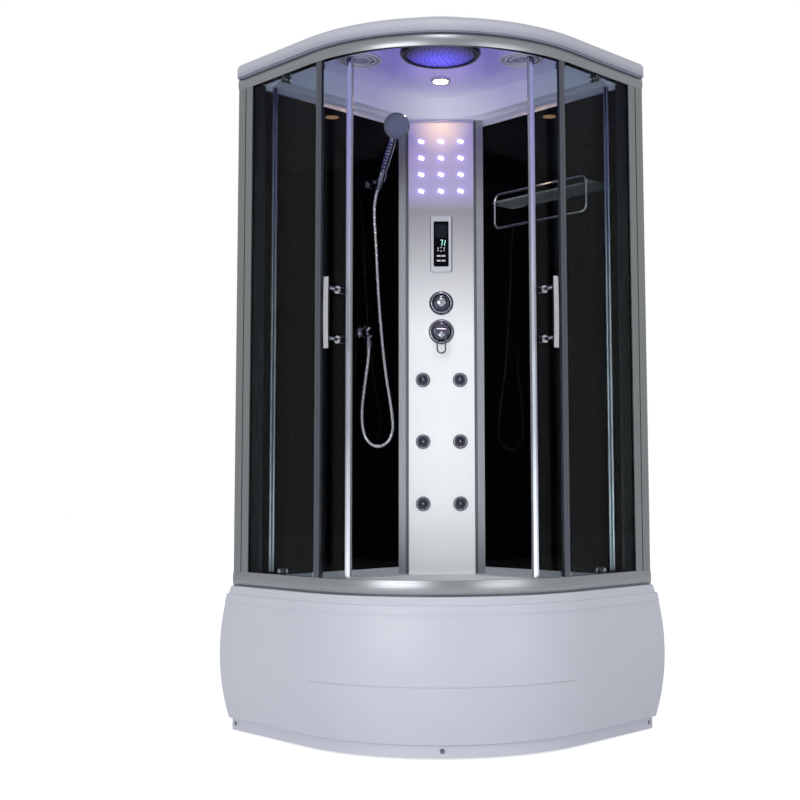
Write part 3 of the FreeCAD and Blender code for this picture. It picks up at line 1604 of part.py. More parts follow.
def make_hand_shower():
    body = new_body("hand_shower_head")
    foot = -d.handle_foot_length
    nipple = foot - d.nipple_length
    top = d.handle_top_length
    mid = top / 2
    thin = d.handle_foot_radius
    outline = [(0, nipple), (d.nipple_radius, nipple), (d.nipple_radius, foot), (thin, foot),
               (thin, d.cup_height / 2), (d.handle_mid_radius, mid), (thin, top), (0, top)]
    revolve(body, "XZ", outline)
    head = d.head_radius
    outline = [(0, -d.head_back), (head / 2, -d.head_back), (head, d.head_front - d.head_rim),
               (head, d.head_front - d.cup_play * 4), (head - d.cup_play * 4, d.head_front),
               (0, d.head_front)]
    revolve(body, "XY", outline, d.head_distance)
    turned = Placement(Vector(0, 0, 0), Rotation(Vector(0, 0, 1), -float(d.head_turn_angle)))
    body.Placement = lean_placement().multiply(turned)
    cup = new_body("holder_cup")
    half = d.cup_height / 2
    bore = thin + d.cup_play
    revolve(cup, "XZ", [(bore, -half), (d.cup_radius, -half), (d.cup_radius, half), (bore, half)])
    ear_in = d.pivot_barrel_width / 2 + d.ear_gap
    back = -d.pivot_back
    drop = -d.pivot_drop
    radius = d.pivot_radius
    web = [(back, drop - radius), (back / 2, -half), (back / 2, half), (back, drop + radius)]
    hub = (back, drop, radius)
    bore = (back, drop, d.pivot_pin_radius + d.running_play)
    for start in (ear_in, -(ear_in + d.ear_thickness)):
        extrude(cup, "YZ", [web], start, d.ear_thickness)
        extrude(cup, "YZ", [hub], start, d.ear_thickness)
    cut(cup, "YZ", [bore], -(ear_in + d.ear_thickness * 2), (ear_in + d.ear_thickness * 2) * 2)
    cup.Placement = lean_placement()
    nut = new_body("hose_top_nut")
    low = foot - d.nut_length
    outline = [(d.nipple_radius + d.cup_play, foot - d.cup_play),
               (d.nipple_radius + d.cup_play, nipple - d.cup_play),
               (0, nipple - d.cup_play), (0, low), (d.nut_end_radius, low),
               (d.nut_radius, foot - d.nipple_radius),
               (d.nut_radius, foot - d.cup_play)]
    revolve(nut, "XZ", outline)
    nut.Placement = lean_placement()
    node(group("hand_shower", [body, cup]))
    node(nut)


def pivot_place():
    """The holder's pivot on the left wall: out of the wall and up from the cup's middle."""
    lean = d.holder_lean_angle
    out = d.holder_reach - d.pivot_back * cosine(lean) - d.pivot_drop * sine(lean)
    up = d.pivot_back * sine(lean) - d.pivot_drop * cosine(lean)
    return out, up


def make_bracket():
    """The holder's wall bracket: a rosette, an arm and a pivot pin."""
    body = new_body("holder_bracket")
    out, up = pivot_place()
    low = -d.rosette_drop
    thick = d.bracket_rosette_thickness
    extrude(body, "XZ", [(0, low, d.bracket_rosette_radius)], 0, thick)
    half = d.pivot_barrel_width / 2
    radius = d.pivot_radius
    arm = [(thick / 2, low - radius), (out, up - radius), (out, up + radius), (thick / 2, low + radius)]
    extrude(body, "YZ", [arm], -half, d.pivot_barrel_width)
    extrude(body, "YZ", [(out, up, radius)], -half, d.pivot_barrel_width)
    pin = half + d.ear_gap + d.ear_thickness
    extrude(body, "YZ", [(out, up, d.pivot_pin_radius)], -pin, pin * 2)
    return node(on_left_wall(body, d.holder_along, d.holder_height))


def make_outlet():
    """The hose's wall outlet, with its nipple pointing down, and the hose's lower nut."""
    body = new_body("outlet_elbow")
    edge = d.outlet_edge
    length = d.outlet_body_length
    radius = d.outlet_body_radius
    outline = [(0, 0), (d.outlet_rosette_radius, 0), (d.outlet_rosette_radius, edge / 2), (radius, edge),
               (radius, length - edge), (radius - edge, length), (0, length)]
    revolve(body, "XY", outline)
    drop = d.outlet_nipple_drop
    extrude(body, "XY", [(0, d.outlet_reach, d.outlet_nipple_radius)], -drop, drop - radius / 2)
    extrude(body, "XY", [(0, d.outlet_reach, d.nipple_radius)], -(drop + d.nipple_length), d.nipple_length)
    nut = new_body("hose_low_nut")
    top = -(drop + d.cup_play)
    bore = d.nipple_radius + d.cup_play
    floor = -(drop + d.nipple_length + d.cup_play)
    low = -(drop + d.nut_length)
    outline = [(bore, top), (bore, floor), (0, floor), (0, low), (d.nut_end_radius, low),
               (d.nut_radius, top - d.nipple_radius), (d.nut_radius, top)]
    revolve(nut, "XZ", outline)
    on_left_wall(body, d.outlet_along, d.outlet_height)
    x = (wall_face + d.outlet_reach - d.outlet_along) * slant
    place(nut, x, corner_y - (wall_face + d.outlet_reach + d.outlet_along) * slant, d.outlet_height, 0)
    return node(group("hose_outlet", [body, nut]))


def make_hose():
    """The free hose: straight runs joined by tangent arcs as large as the runs allow."""
    leaning = []
    neck = d.handle_foot_length + d.nut_length
    for down in (neck, neck + d.hose_first_run):
        out = d.holder_reach - down * sine(d.holder_lean_angle)
        leaning.append((d.holder_along, out, d.holder_height - down * cosine(d.holder_lean_angle)))
    end = (d.outlet_along, d.outlet_reach, d.outlet_height - d.outlet_nipple_drop - d.nut_length)
    points = [wall_point(*place_on_wall) for place_on_wall in leaning + HOSE_ROUTE + [end]]
    edges = []
    start = points[0]
    total = 0
    radii = []
    for before, point, after in zip(points, points[1:], points[2:]):
        into = point - before
        out_of = after - point
        turn = into.getAngle(out_of)
        shorter = min(into.Length, out_of.Length)
        setback = 0.45 * shorter
        radius = setback / math.tan(turn / 2)
        radii.append(round(radius))
        tangent = point - Vector(into).normalize() * setback
        leave = point + Vector(out_of).normalize() * setback
        toward = (tangent + leave) * 0.5 - point
        centre = point + toward.normalize() * (radius / math.cos(turn / 2))
        middle = centre + (point - centre).normalize() * radius
        edges.append(Part.LineSegment(start, tangent).toShape())
        edges.append(Part.Arc(tangent, middle, leave).toShape())
        total += (tangent - start).Length + radius * turn
        start = leave
    edges.append(Part.LineSegment(start, points[-1]).toShape())
    total += (points[-1] - start).Length
    path = Part.Wire(edges)
    ring = Part.Wire([Part.Circle(points[0], points[1] - points[0], float(d.hose_radius)).toShape()])
    tube = path.makePipeShell([ring], True, False)
    section = math.pi * float(d.hose_radius) ** 2
    print("hose length", round(total, 1), "radii", radii, "volume share",
          round(tube.Volume / section / total, 5))
    thing = doc.addObject("Part::Feature", "shower_hose")
    thing.Shape = tube
    return node(thing)


# Shelf
def make_shelf():
    glass = new_body("shelf_glass")
    corner = d.shelf_round
    front = d.shelf_depth
    left = -d.shelf_end
    right = -d.shelf_start
    outline = [(left, d.shelf_wall_gap), (right, d.shelf_wall_gap), (right, front - corner, corner),
               (right - corner, front), (left + corner, front, corner), (left, front - corner)]
    extrude(glass, "XY", [outline], d.shelf_height, d.shelf_thickness)
    node(on_right_wall(glass))
    rail_body = new_body("shelf_wire")
    out = front + d.loop_wire_radius + d.seat_gap
    low = d.shelf_height - d.loop_below
    high = d.shelf_height + d.loop_above
    left = -d.loop_end
    right = -d.loop_start
    turn = d.loop_round
    middle = (left + right) / 2
    loop = [(middle, low), (right - turn, low, turn), (right, low + turn), (right, high - turn, turn),
            (right - turn, high), (left + turn, high, turn), (left, high - turn), (left, low + turn, turn),
            (left + turn, low)]
    path = sketch(rail_body, "XZ", [loop], out)
    profile = sketch(rail_body, "YZ", [(out, low, d.loop_wire_radius)], middle)
    sweep(rail_body, profile, path)
    lip = d.clip_lip
    slot_low = d.shelf_height - d.glass_play
    slot_high = d.shelf_height + d.shelf_thickness + d.glass_play
    for x in (left, right):
        start = x - d.clip_width / 2
        jaw = rectangle(front - d.clip_reach, slot_low - lip, out, slot_high + lip)
        extrude(rail_body, "YZ", [jaw], start, d.clip_width)
        slot = rectangle(front - d.clip_reach - d.overrun, slot_low, front + d.glass_play, slot_high)
        cut(rail_body, "YZ", [slot], start - d.overrun, d.clip_width + d.overrun * 2)
    pieces = [on_right_wall(rail_body)]
    for number, x in enumerate((-(d.shelf_end - d.clamp_inset), -(d.shelf_start + d.clamp_inset))):
        clamp = new_body("shelf_clamp_%d" % number)
        start = x - d.clamp_width / 2
        outline = [(0, slot_low - lip), (d.clamp_depth, slot_low - lip), (d.clamp_depth, slot_low),
                   (d.shelf_wall_gap - d.glass_play, slot_low), (d.shelf_wall_gap - d.glass_play, slot_high),
                   (d.clamp_depth, slot_high), (d.clamp_depth, slot_high + lip), (0, slot_high + lip)]
        extrude(clamp, "YZ", [outline], start, d.clamp_width)
        pieces.append(on_right_wall(clamp))
    return node(group("shelf_rail", pieces))


make_tub()
make_apron()
make_screws()
make_frame()
make_feet()
make_waste()
make_plug()
rail("bottom_rail", d.rim_height, d.bottom_rail_height, True)
rail("top_rail", glass_head, d.top_rail_height, False)
node(both_sides("upright_profiles", [make_post(), make_edge_strip()]))
node(both_sides("fixed_glass", [make_fixed_glass()]))
node(both_sides("wall_panels", [make_wall_glass()]))
node(both_sides("wall_strips", make_wall_strips()))
make_column()
node(both_sides("column_trims", [make_trim()]))
make_leds()
make_controls()
node(group("valve_rosettes", [
    rosette("diverter_rosette", d.diverter_rosette_radius, d.knob_stem_radius, diverter_height),
    rosette("mixer_rosette", d.mixer_rosette_radius, d.cap_stem_radius, mixer_height)]))
make_diverter_knob()
make_mixer_cap()
make_lever()
make_valves()
make_jets()
make_roof()
make_ceiling()
make_rain_head()
bezel = make_lamp()
left_vent = make_vent()
node(group("ceiling_trims", [bezel, left_vent, mirrored("right_vent_grille", left_vent)]))
node(group("vent_backs", [make_fan(), make_speaker()]))
make_doors()
make_hand_shower()
make_bracket()
make_outlet()
make_hose()
make_shelf()

doc.recompute()
faults = []
for thing in doc.Objects:
    if "Invalid" in thing.State or "Error" in thing.State:
        faults.append("%s (%s) is not computed" % (thing.Name, thing.Label))
for thing in nodes:
    shape = thing.Shape
    if shape.isNull() or not shape.isValid() or shape.Volume <= 0:
        faults.append("%s has no valid solid" % thing.Label)
if faults:
    raise RuntimeError("; ".join(faults))

os.makedirs("parts", exist_ok=True)
for thing in nodes:
    thing.Shape.exportStep("parts/%s.step" % thing.Name)
print(len(nodes), "nodes written")
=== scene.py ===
"""Shower cabin with bathtub: the looks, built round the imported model. Metres, +Z up.

The cabin's back corner points to +Y and its curved front faces -Y. Left and right are the
photographer's. The doors stand open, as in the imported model.
"""
import math

import bpy
import bmesh
from mathutils import Matrix, Vector


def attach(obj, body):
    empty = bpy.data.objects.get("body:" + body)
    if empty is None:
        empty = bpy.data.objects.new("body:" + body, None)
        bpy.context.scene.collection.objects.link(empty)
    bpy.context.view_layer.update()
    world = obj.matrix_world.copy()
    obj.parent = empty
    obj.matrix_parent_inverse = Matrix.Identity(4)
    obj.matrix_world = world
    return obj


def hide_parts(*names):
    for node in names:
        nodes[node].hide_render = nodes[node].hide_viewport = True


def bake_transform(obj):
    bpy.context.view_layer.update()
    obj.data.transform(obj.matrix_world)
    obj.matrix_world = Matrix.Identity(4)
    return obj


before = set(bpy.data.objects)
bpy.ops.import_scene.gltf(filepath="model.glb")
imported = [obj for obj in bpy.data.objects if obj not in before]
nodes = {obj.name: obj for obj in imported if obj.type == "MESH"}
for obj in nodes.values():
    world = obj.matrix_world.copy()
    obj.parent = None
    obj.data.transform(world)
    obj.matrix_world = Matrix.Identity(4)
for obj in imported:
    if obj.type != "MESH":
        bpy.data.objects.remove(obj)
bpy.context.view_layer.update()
scene = bpy.context.scene

# The cabin's plan
WALL_TURN = math.radians(45)
WALL_FACE = 0.030
CORNER_Y = 0.54499
ARC_Y = 0.05001
COLUMN_Y = CORNER_Y - 0.186
CEILING_Z = 2.075
DOOR_SWING = math.radians(24.4)
HINGE = Vector((0.047533, 0.115613, 0))

# Places on the ceiling
RAIN_Y = CORNER_Y - 0.735
LAMP_Y = CORNER_Y - 0.437
VENT_X = 0.254
VENT_Y = CORNER_Y - 0.645

# Places on the column
WINDOW_PITCH = 0.069
WINDOW_RISE = 0.059
WINDOW_FOOT = 1.76
WINDOW_ROWS = 4
WINDOW_MIDDLE = WINDOW_FOOT + WINDOW_RISE * (WINDOW_ROWS - 1) / 2
BEZEL_Z = 1.572
DIVERTER_Z = 1.365
MIXER_Z = 1.265
JET_X = 0.064
JET_HEIGHTS = (1.098, 0.8855, 0.673)
FACING = Matrix.Rotation(math.pi / 2, 4, "X")


def left_wall(along, out, height):
    """A place on the left wall, from millimetres along it, out of it and up."""
    reach = out / 1000 + WALL_FACE
    run = along / 1000
    side = math.cos(WALL_TURN)
    return Vector(((reach - run) * side, CORNER_Y - (reach + run) * side, height / 1000))


# Steps that the materials share
def new_material(name):
    """An empty material with one shader."""
    material = bpy.data.materials.new(name)
    material.use_nodes = True
    tree = material.node_tree
    tree.nodes.clear()
    tree.nodes.new("ShaderNodeOutputMaterial")
    shader = tree.nodes.new("ShaderNodeBsdfPrincipled")
    show(tree, shader.outputs[0])
    return material, tree, shader


def show(tree, result):
    """Make a shader's result the material's surface."""
    tree.links.new(result, tree.nodes["Material Output"].inputs["Surface"])


def feed(tree, socket, value):
    """Give a socket a number, a colour or another node's result."""
    if isinstance(value, bpy.types.NodeSocket):
        tree.links.new(value, socket)
    elif isinstance(value, tuple):
        socket.default_value = (*value, 1)
    else:
        socket.default_value = value


def dress(tree, shader, inputs):
    """Feed a shader's sockets, named by their labels."""
    for label, value in inputs.items():
        feed(tree, shader.inputs[label], value)


def object_place(tree, stretch=(1, 1, 1)):
    """Object coordinates, stretched by a mapping node."""
    place = tree.nodes.new("ShaderNodeTexCoord")
    mapping = tree.nodes.new("ShaderNodeMapping")
    mapping.inputs["Scale"].default_value = stretch
    tree.links.new(place.outputs["Object"], mapping.inputs["Vector"])
    return mapping.outputs[0]


def axes(tree):
    """A point's place across, back and up."""
    split = tree.nodes.new("ShaderNodeSeparateXYZ")
    tree.links.new(object_place(tree), split.inputs[0])
    return split.outputs["X"], split.outputs["Y"], split.outputs["Z"]


def distance_from(tree, centre, stretch=(1, 1, 1)):
    """How far a point lies from a centre, with each axis stretched."""
    mapping = tree.nodes.new("ShaderNodeMapping")
    mapping.inputs["Location"].default_value = [-middle * wide for middle, wide in zip(centre, stretch)]
    mapping.inputs["Scale"].default_value = stretch
    tree.links.new(object_place(tree), mapping.inputs["Vector"])
    length = tree.nodes.new("ShaderNodeVectorMath")
    length.operation = "LENGTH"
    tree.links.new(mapping.outputs[0], length.inputs[0])
    return length.outputs["Value"]


def noise(tree, scale, detail, rough=0.5, stretch=(1, 1, 1)):
    node = tree.nodes.new("ShaderNodeTexNoise")
    node.inputs["Scale"].default_value = scale
    node.inputs["Detail"].default_value = detail
    node.inputs["Roughness"].default_value = rough
    tree.links.new(object_place(tree, stretch), node.inputs["Vector"])
    return node.outputs["Fac"]


def cloud(tree):
    """The large, faint cloud in a sheet of plastic or glass."""
    return noise(tree, 2.3, 3)


def brushing(tree, scale, stretch):
    """A metal's fine lines, which run the way the mapping stretches them."""
    return noise(tree, scale, 5, 0.6, stretch)


def spread(tree, value, low, high, start=0.3, end=0.7):
    """A value moved from one range to another, and held at its ends."""
    node = tree.nodes.new("ShaderNodeMapRange")
    for label, number in (("From Min", start), ("From Max", end), ("To Min", low), ("To Max", high)):
        node.inputs[label].default_value = number
    tree.links.new(value, node.inputs["Value"])
    return node.outputs[0]


def uneven_gloss(tree, low, high):
    """A roughness that wanders between two values, as on moulded plastic."""
    return spread(tree, noise(tree, 14, 4), low, high)


def calculate(tree, operation, first, second=None):
    """One step of arithmetic on a node's value."""
    node = tree.nodes.new("ShaderNodeMath")
    node.operation = operation
    for number, value in enumerate((first, second)):
        if value is not None:
            feed(tree, node.inputs[number], value)
    return node.outputs[0]


def blend_colours(tree, factor, first, second, way="MIX"):
    node = tree.nodes.new("ShaderNodeMix")
    node.data_type = "RGBA"
    node.blend_type = way
    feed(tree, node.inputs["Factor"], factor)
    feed(tree, node.inputs["A"], first)
    feed(tree, node.inputs["B"], second)
    return node.outputs["Result"]


def mix_shaders(tree, share, first, second):
    node = tree.nodes.new("ShaderNodeMixShader")
    feed(tree, node.inputs[0], share)
    tree.links.new(first, node.inputs[1])
    tree.links.new(second, node.inputs[2])
    return node.outputs[0]


def bump(tree, shader, height, strength, distance):
    node = tree.nodes.new("ShaderNodeBump")
    node.inputs["Strength"].default_value = strength
    node.inputs["Distance"].default_value = distance
    tree.links.new(height, node.inputs["Height"])
    tree.links.new(node.outputs[0], shader.inputs["Normal"])


def mirrored(tree, under, gloss, rough, floor_share, edge_share):
    """A shader under a faint mirror that strengthens where the face is seen at a slant."""
    mirror = tree.nodes.new("ShaderNodeBsdfGlossy")
    dress(tree, mirror, {"Color": gloss, "Roughness": spread(tree, noise(tree, 3, 2), *rough)})
    slant = tree.nodes.new("ShaderNodeLayerWeight")
    slant.inputs["Blend"].default_value = 0.5
    steep = calculate(tree, "POWER", slant.outputs["Facing"], 5)
    return mix_shaders(tree, spread(tree, steep, floor_share, edge_share, 0, 1), under, mirror.outputs[0])


def off_middle(tree, value, middle):
    """How far a value lies from a middle, to either side."""
    return calculate(tree, "ABSOLUTE", calculate(tree, "SUBTRACT", value, middle))


def ripple(tree, value, pitch, start):
    """A value between nothing and one that peaks at every pitch from a start."""
    turned = calculate(tree, "MULTIPLY", calculate(tree, "SUBTRACT", value, start), 2 * math.pi / pitch)
    return calculate(tree, "ADD", calculate(tree, "MULTIPLY", calculate(tree, "COSINE", turned), 0.5), 0.5)


# Plain finishes
def gloss_plastic(name, colour, darker, rough=(0.36, 0.42), coat=0.0, specular=0.32):
    """Vacuum-formed or moulded plastic: a faint cloud in its colour, uneven gloss and slight waviness."""
    material, tree, shader = new_material(name)
    dress(tree, shader, {
        "Base Color": blend_colours(tree, spread(tree, cloud(tree), 0, 1), colour, darker),
        "Roughness": uneven_gloss(tree, *rough),
        "Coat Weight": coat,
        "Coat Roughness": 0.22,
        "Specular IOR Level": specular,
    })
    bump(tree, shader, noise(tree, 9, 1), 0.008, 0.002)
    return material


def metal(name, colour, darker, rough, scale, grain, stretch=(1, 1, 1)):
    """Metal with a fine grain."""
    material, tree, shader = new_material(name)
    lines = brushing(tree, scale, stretch)
    dress(tree, shader, {
        "Base Color": blend_colours(tree, spread(tree, lines, 0, 1), colour, darker),
        "Roughness": spread(tree, lines, *rough),
        "Metallic": 1.0,
    })
    bump(tree, shader, lines, grain, 0.0004)
    return material


def mirror_chrome(name, middle, edge, rough=(0.05, 0.09)):
    """Chrome plate with a painted reflection: dark where it faces the eye, as if it mirrored a dark room,
    and bright towards its edges.
    """
    material, tree, shader = new_material(name)
    slant = tree.nodes.new("ShaderNodeLayerWeight")
    slant.inputs["Blend"].default_value = 0.4
    smear = noise(tree, 30, 3)
    # Painted reflection: the colour darkens where the face turns to the eye.
    uneven = calculate(tree, "MULTIPLY", slant.outputs["Facing"], spread(tree, smear, 0.8, 1.2))
    dress(tree, shader, {
        "Base Color": blend_colours(tree, uneven, middle, edge),
        "Roughness": spread(tree, smear, *rough),
        "Metallic": 1.0,
    })
    return material


def clear_glass(name, tint, gloss=0.11, haze=0.0):
    """A toughened pane: what is behind shows through its tint, and its faces mirror a little."""
    material, tree, shader = new_material(name)
    tree.nodes.remove(shader)
    see = tree.nodes.new("ShaderNodeBsdfTransparent")
    feed(tree, see.inputs["Color"], tint)
    under = see.outputs[0]
    if haze:
        misty = tree.nodes.new("ShaderNodeBsdfDiffuse")
        feed(tree, misty.inputs["Color"], (0.72, 0.80, 0.82))
        under = mix_shaders(tree, haze, under, misty.outputs[0])
    show(tree, mirrored(tree, under, (gloss, gloss, gloss), (0.0, 0.006), 0.04, 0.25))
    return material


def dark_glass(name, colour, darker, gloss):
    """Back-painted glass: a black body under a faint mirror."""
    material, tree, shader = new_material(name)
    dress(tree, shader, {
        "Base Color": blend_colours(tree, spread(tree, cloud(tree), 0, 1), colour, darker),
        "Roughness": 0.3,
        "Specular IOR Level": 0.0,
    })
    show(tree, mirrored(tree, shader.outputs[0], gloss, (0.0, 0.008), 0.05, 0.5))
    return material


def glowing(name, colour, strength, base):
    """A lit lens or window."""
    material, tree, shader = new_material(name)
    dress(tree, shader, {
        "Base Color": base,
        "Roughness": spread(tree, noise(tree, 90, 2), 0.24, 0.36),
        "Emission Color": colour,
        "Emission Strength": strength,
    })
    return material


# What several finishes share: ranges of roughness, a grain that runs upwards and a weak mirror's grey
DULL = (0.4, 0.5)
SATIN = (0.3, 0.4)
SLEEK = (0.2, 0.3)
UP_GRAIN = (70, 70, 1)
FAINT_MIRROR = (0.05, 0.055, 0.06)

acrylic = gloss_plastic("white_acrylic", (0.60, 0.62, 0.69), (0.57, 0.59, 0.66))
vent_plastic = gloss_plastic("vent_plastic", (0.58, 0.57, 0.80), (0.54, 0.53, 0.76))
vent_ring = gloss_plastic("vent_ring", (0.84, 0.84, 0.98), (0.80, 0.80, 0.95))
black_plastic = gloss_plastic("black_plastic", (0.008, 0.008, 0.022), (0.012, 0.012, 0.03), SATIN, 0.1, 0.3)
duct_plastic = gloss_plastic("duct_plastic", (0.20, 0.18, 0.40), (0.22, 0.20, 0.43), DULL)
drain_plastic = gloss_plastic("drain_plastic", (0.5, 0.5, 0.5), (0.42, 0.42, 0.42), SATIN)
nylon = gloss_plastic("wheel_nylon", (0.06, 0.065, 0.075), (0.045, 0.05, 0.06), SLEEK, 0.2)
spray_grey = gloss_plastic("spray_face_grey", (0.16, 0.185, 0.33), (0.13, 0.15, 0.28), SATIN, 0.1)
grip_blue = gloss_plastic("grip_blue", (0.02, 0.02, 0.16), (0.012, 0.012, 0.10), SLEEK, 0.3)
rubber = gloss_plastic("nozzle_rubber", (0.05, 0.055, 0.08), (0.07, 0.075, 0.1), DULL)
rain_dot = gloss_plastic("rain_dot", (0.03, 0.025, 0.30), (0.04, 0.03, 0.36), DULL)
seal_plastic = gloss_plastic("seal_plastic", (0.30, 0.31, 0.33), (0.24, 0.25, 0.27), SLEEK, 0.1)
# Painted shade for the apron's groove: a darker copy of the apron's plastic
crease_shade = gloss_plastic("crease_shade", (0.50, 0.51, 0.56), (0.46, 0.47, 0.52), DULL)

wall_glass = dark_glass("black_wall_glass", (0.0012, 0.0013, 0.0018), (0.0018, 0.0018, 0.0026),
                        (0.15, 0.14, 0.135))
display_black = dark_glass("display_glass", (0.002, 0.003, 0.006), (0.003, 0.004, 0.008), FAINT_MIRROR)
lcd_glass = dark_glass("lcd_glass", (0.014, 0.020, 0.028), (0.018, 0.026, 0.036), FAINT_MIRROR)
pane = clear_glass("clear_pane", (0.86, 0.89, 0.89))
shelf_pane = clear_glass("shelf_pane", (0.74, 0.80, 0.80), 0.55, 0.22)

rail_metal = metal("rail_aluminium", (0.245, 0.255, 0.27), (0.195, 0.205, 0.22), (0.26, 0.34), 6, 0.04,
                   (1, 1, 60))
trim_metal = metal("trim_aluminium", (0.31, 0.32, 0.35), (0.25, 0.26, 0.29), (0.26, 0.36), 6, 0.03, UP_GRAIN)
# A darker copy of the trim aluminium: painted shade on the side trims, and the bezel's dark joints
shade_and_joint_metal = metal("shade_and_joint_metal", (0.12, 0.125, 0.145), (0.10, 0.105, 0.125), SATIN, 6, 0.02, UP_GRAIN)
strip_metal = metal("strip_aluminium", (0.80, 0.81, 0.86), (0.72, 0.73, 0.78), (0.28, 0.38), 2, 0.01,
                    (40, 40, 40))
cornice_metal = metal("cornice_aluminium", (0.48, 0.47, 0.68), (0.42, 0.41, 0.60), SATIN, 6, 0.02,
                      (1, 50, 50))
bezel_metal = metal("bezel_aluminium", (0.50, 0.51, 0.57), (0.44, 0.45, 0.51), SATIN, 6, 0.03, (50, 50, 2))
bright_chrome = metal("bright_chrome", (0.46, 0.46, 0.50), (0.40, 0.40, 0.44), (0.10, 0.16), 30, 0.0)
steel = metal("galvanised_steel", (0.42, 0.43, 0.44), (0.30, 0.31, 0.32), (0.35, 0.5), 26, 0.05)
brass = metal("brass", (0.55, 0.40, 0.16), (0.45, 0.31, 0.12), (0.25, 0.35), 40, 0.04)
hose_metal = metal("hose_metal", (0.72, 0.72, 0.75), (0.60, 0.60, 0.63), SLEEK, 80, 0.0)
chrome = mirror_chrome("chrome", (0.08, 0.08, 0.12), (0.55, 0.55, 0.62))
ring_chrome = mirror_chrome("ring_chrome", (0.30, 0.30, 0.35), (0.42, 0.42, 0.48), (0.03, 0.06))
dark_chrome = mirror_chrome("dark_chrome", (0.05, 0.05, 0.08), (0.35, 0.35, 0.42))

led_window = glowing("led_window", (0.42, 0.34, 0.95), 0.55, (0.5, 0.45, 0.8))
led_glow = glowing("led_glow", (0.93, 0.86, 1.0), 2.0, (0.8, 0.75, 0.9))
lamp_glow = glowing("lamp_glow", (1.0, 0.62, 0.36), 40.0, (0.9, 0.9, 0.9))
sign_glow = glowing("sign_glow", (0.45, 1.0, 0.82), 1.2, (0.1, 0.3, 0.25))
key_glow = glowing("key_glow", (0.52, 0.52, 0.58), 0.9, (0.2, 0.2, 0.22))


# Finishes that change over the piece
NO_LIGHT = (0.0, 0.0, 0.0)


def lit_ceiling():
    """White acrylic with painted light: violet painted on from the rain head's light, and a painted pale
    glow where it nears the column.
    """
    material, tree, shader = new_material("ceiling_acrylic")
    violet_reach, pale_reach, pale_stretch = (0.15, 0.42), (0.02, 0.26), (0.45, 1, 1)
    # Painted light: a violet glow round the rain head, in both the base colour and the emission
    rain = spread(tree, distance_from(tree, (0, RAIN_Y + 0.075, CEILING_Z)), 1, 0, *violet_reach)
    near_column = distance_from(tree, (0, COLUMN_Y + 0.05, CEILING_Z), pale_stretch)
    violet = blend_colours(tree, rain, (0.085, 0.09, 0.14), (0.075, 0.055, 0.29))
    # Painted light: a pale glow near the column
    pale = blend_colours(tree, spread(tree, near_column, 1, 0, *pale_reach), NO_LIGHT, (0.23, 0.22, 0.24))
    dress(tree, shader, {
        "Base Color": blend_colours(tree, rain, (0.56, 0.57, 0.72), (0.50, 0.45, 0.74)),
        "Roughness": uneven_gloss(tree, 0.16, 0.26),
        "Coat Weight": 0.15,
        "Emission Color": blend_colours(tree, 1.0, violet, pale, "ADD"),
        "Emission Strength": 1.0,
    })
    bump(tree, shader, noise(tree, 22, 2), 0.02, 0.002)
    return material


def window_haze(tree, across, height):
    """The violet light painted about the column's windows: a wide painted haze with a painted halo at each
    window.
    """
    halo_edge = (0.095, 0.115)
    halo_ends = (0.105, 0.125)
    haze_middle, haze_ends = WINDOW_MIDDLE + 0.0265, (0.125, 0.185)
    on_panel = spread(tree, off_middle(tree, across, 0.0), 1, 0, *halo_edge)
    columns = calculate(tree, "MULTIPLY", ripple(tree, across, WINDOW_PITCH, 0.0), on_panel)
    dots = calculate(tree, "MULTIPLY", columns, ripple(tree, height, WINDOW_RISE, WINDOW_FOOT))
    strength = spread(tree, off_middle(tree, height, WINDOW_MIDDLE), 0.55, 0, *halo_ends)
    halo = calculate(tree, "MULTIPLY", calculate(tree, "POWER", dots, 1.6), strength)
    haze = spread(tree, off_middle(tree, height, haze_middle), 1, 0, *haze_ends)
    # Painted light: the haze and halos become the panel's emission
    light = calculate(tree, "MULTIPLY", calculate(tree, "ADD", halo, 0.45), haze)
    return blend_colours(tree, light, NO_LIGHT, (0.26, 0.20, 0.68))


def lit_panel():
    """Brushed silver with painted light: painted shade that darkens it upwards, the light windows' painted
    violet haze and the lamp's painted warm spot at its top.
    """
    material, tree, shader = new_material("column_silver")
    across, back, height = axes(tree)
    grain = brushing(tree, 6, (60, 60, 2))
    silver = blend_colours(tree, spread(tree, grain, 0, 1), (0.90, 0.91, 0.94), (0.87, 0.88, 0.91))
    shade_heights = (1.26, 1.68)
    spot_height, spot_reach = 2.004, 0.115
    front_skin = (COLUMN_Y + 0.0008, COLUMN_Y + 0.0018)
    # Painted shade: the silver darkens to grey going up the column
    shaded = spread(tree, height, 0, 1, *shade_heights)
    # Painted light: a warm pool from the ceiling lamp at the column's head, given as emission
    near_lamp = spread(tree, distance_from(tree, (0, COLUMN_Y, spot_height)), 1, 0, 0.0, spot_reach)
    warm = blend_colours(tree, near_lamp, NO_LIGHT, (0.66, 0.46, 0.14))
    dress(tree, shader, {
        "Base Color": blend_colours(tree, shaded, silver, (0.36, 0.36, 0.40)),
        "Roughness": spread(tree, grain, 0.36, 0.44),
        "Metallic": 0.6,
        "Emission Color": blend_colours(tree, 1.0, warm, window_haze(tree, across, height), "ADD"),
        "Emission Strength": spread(tree, back, 1, 0, *front_skin),
    })
    bump(tree, shader, grain, 0.02, 0.0004)
    return material


def lit_disc():
    """The rain head's face: blue light that fades to navy at the edge."""
    material, tree, shader = new_material("rain_disc")
    glow_reach = (0.03, 0.118)
    inward = spread(tree, distance_from(tree, (0, RAIN_Y + 0.045, CEILING_Z)), 1, 0, *glow_reach)
    bright = calculate(tree, "MULTIPLY", inward, spread(tree, noise(tree, 40, 3), 0.85, 1.1))
    dress(tree, shader, {
        "Base Color": (0.01, 0.01, 0.05),
        "Roughness": 0.35,
        "Emission Color": blend_colours(tree, bright, (0.006, 0.006, 0.04), (0.10, 0.08, 0.92)),
        "Emission Strength": 1.0,
    })
    return material


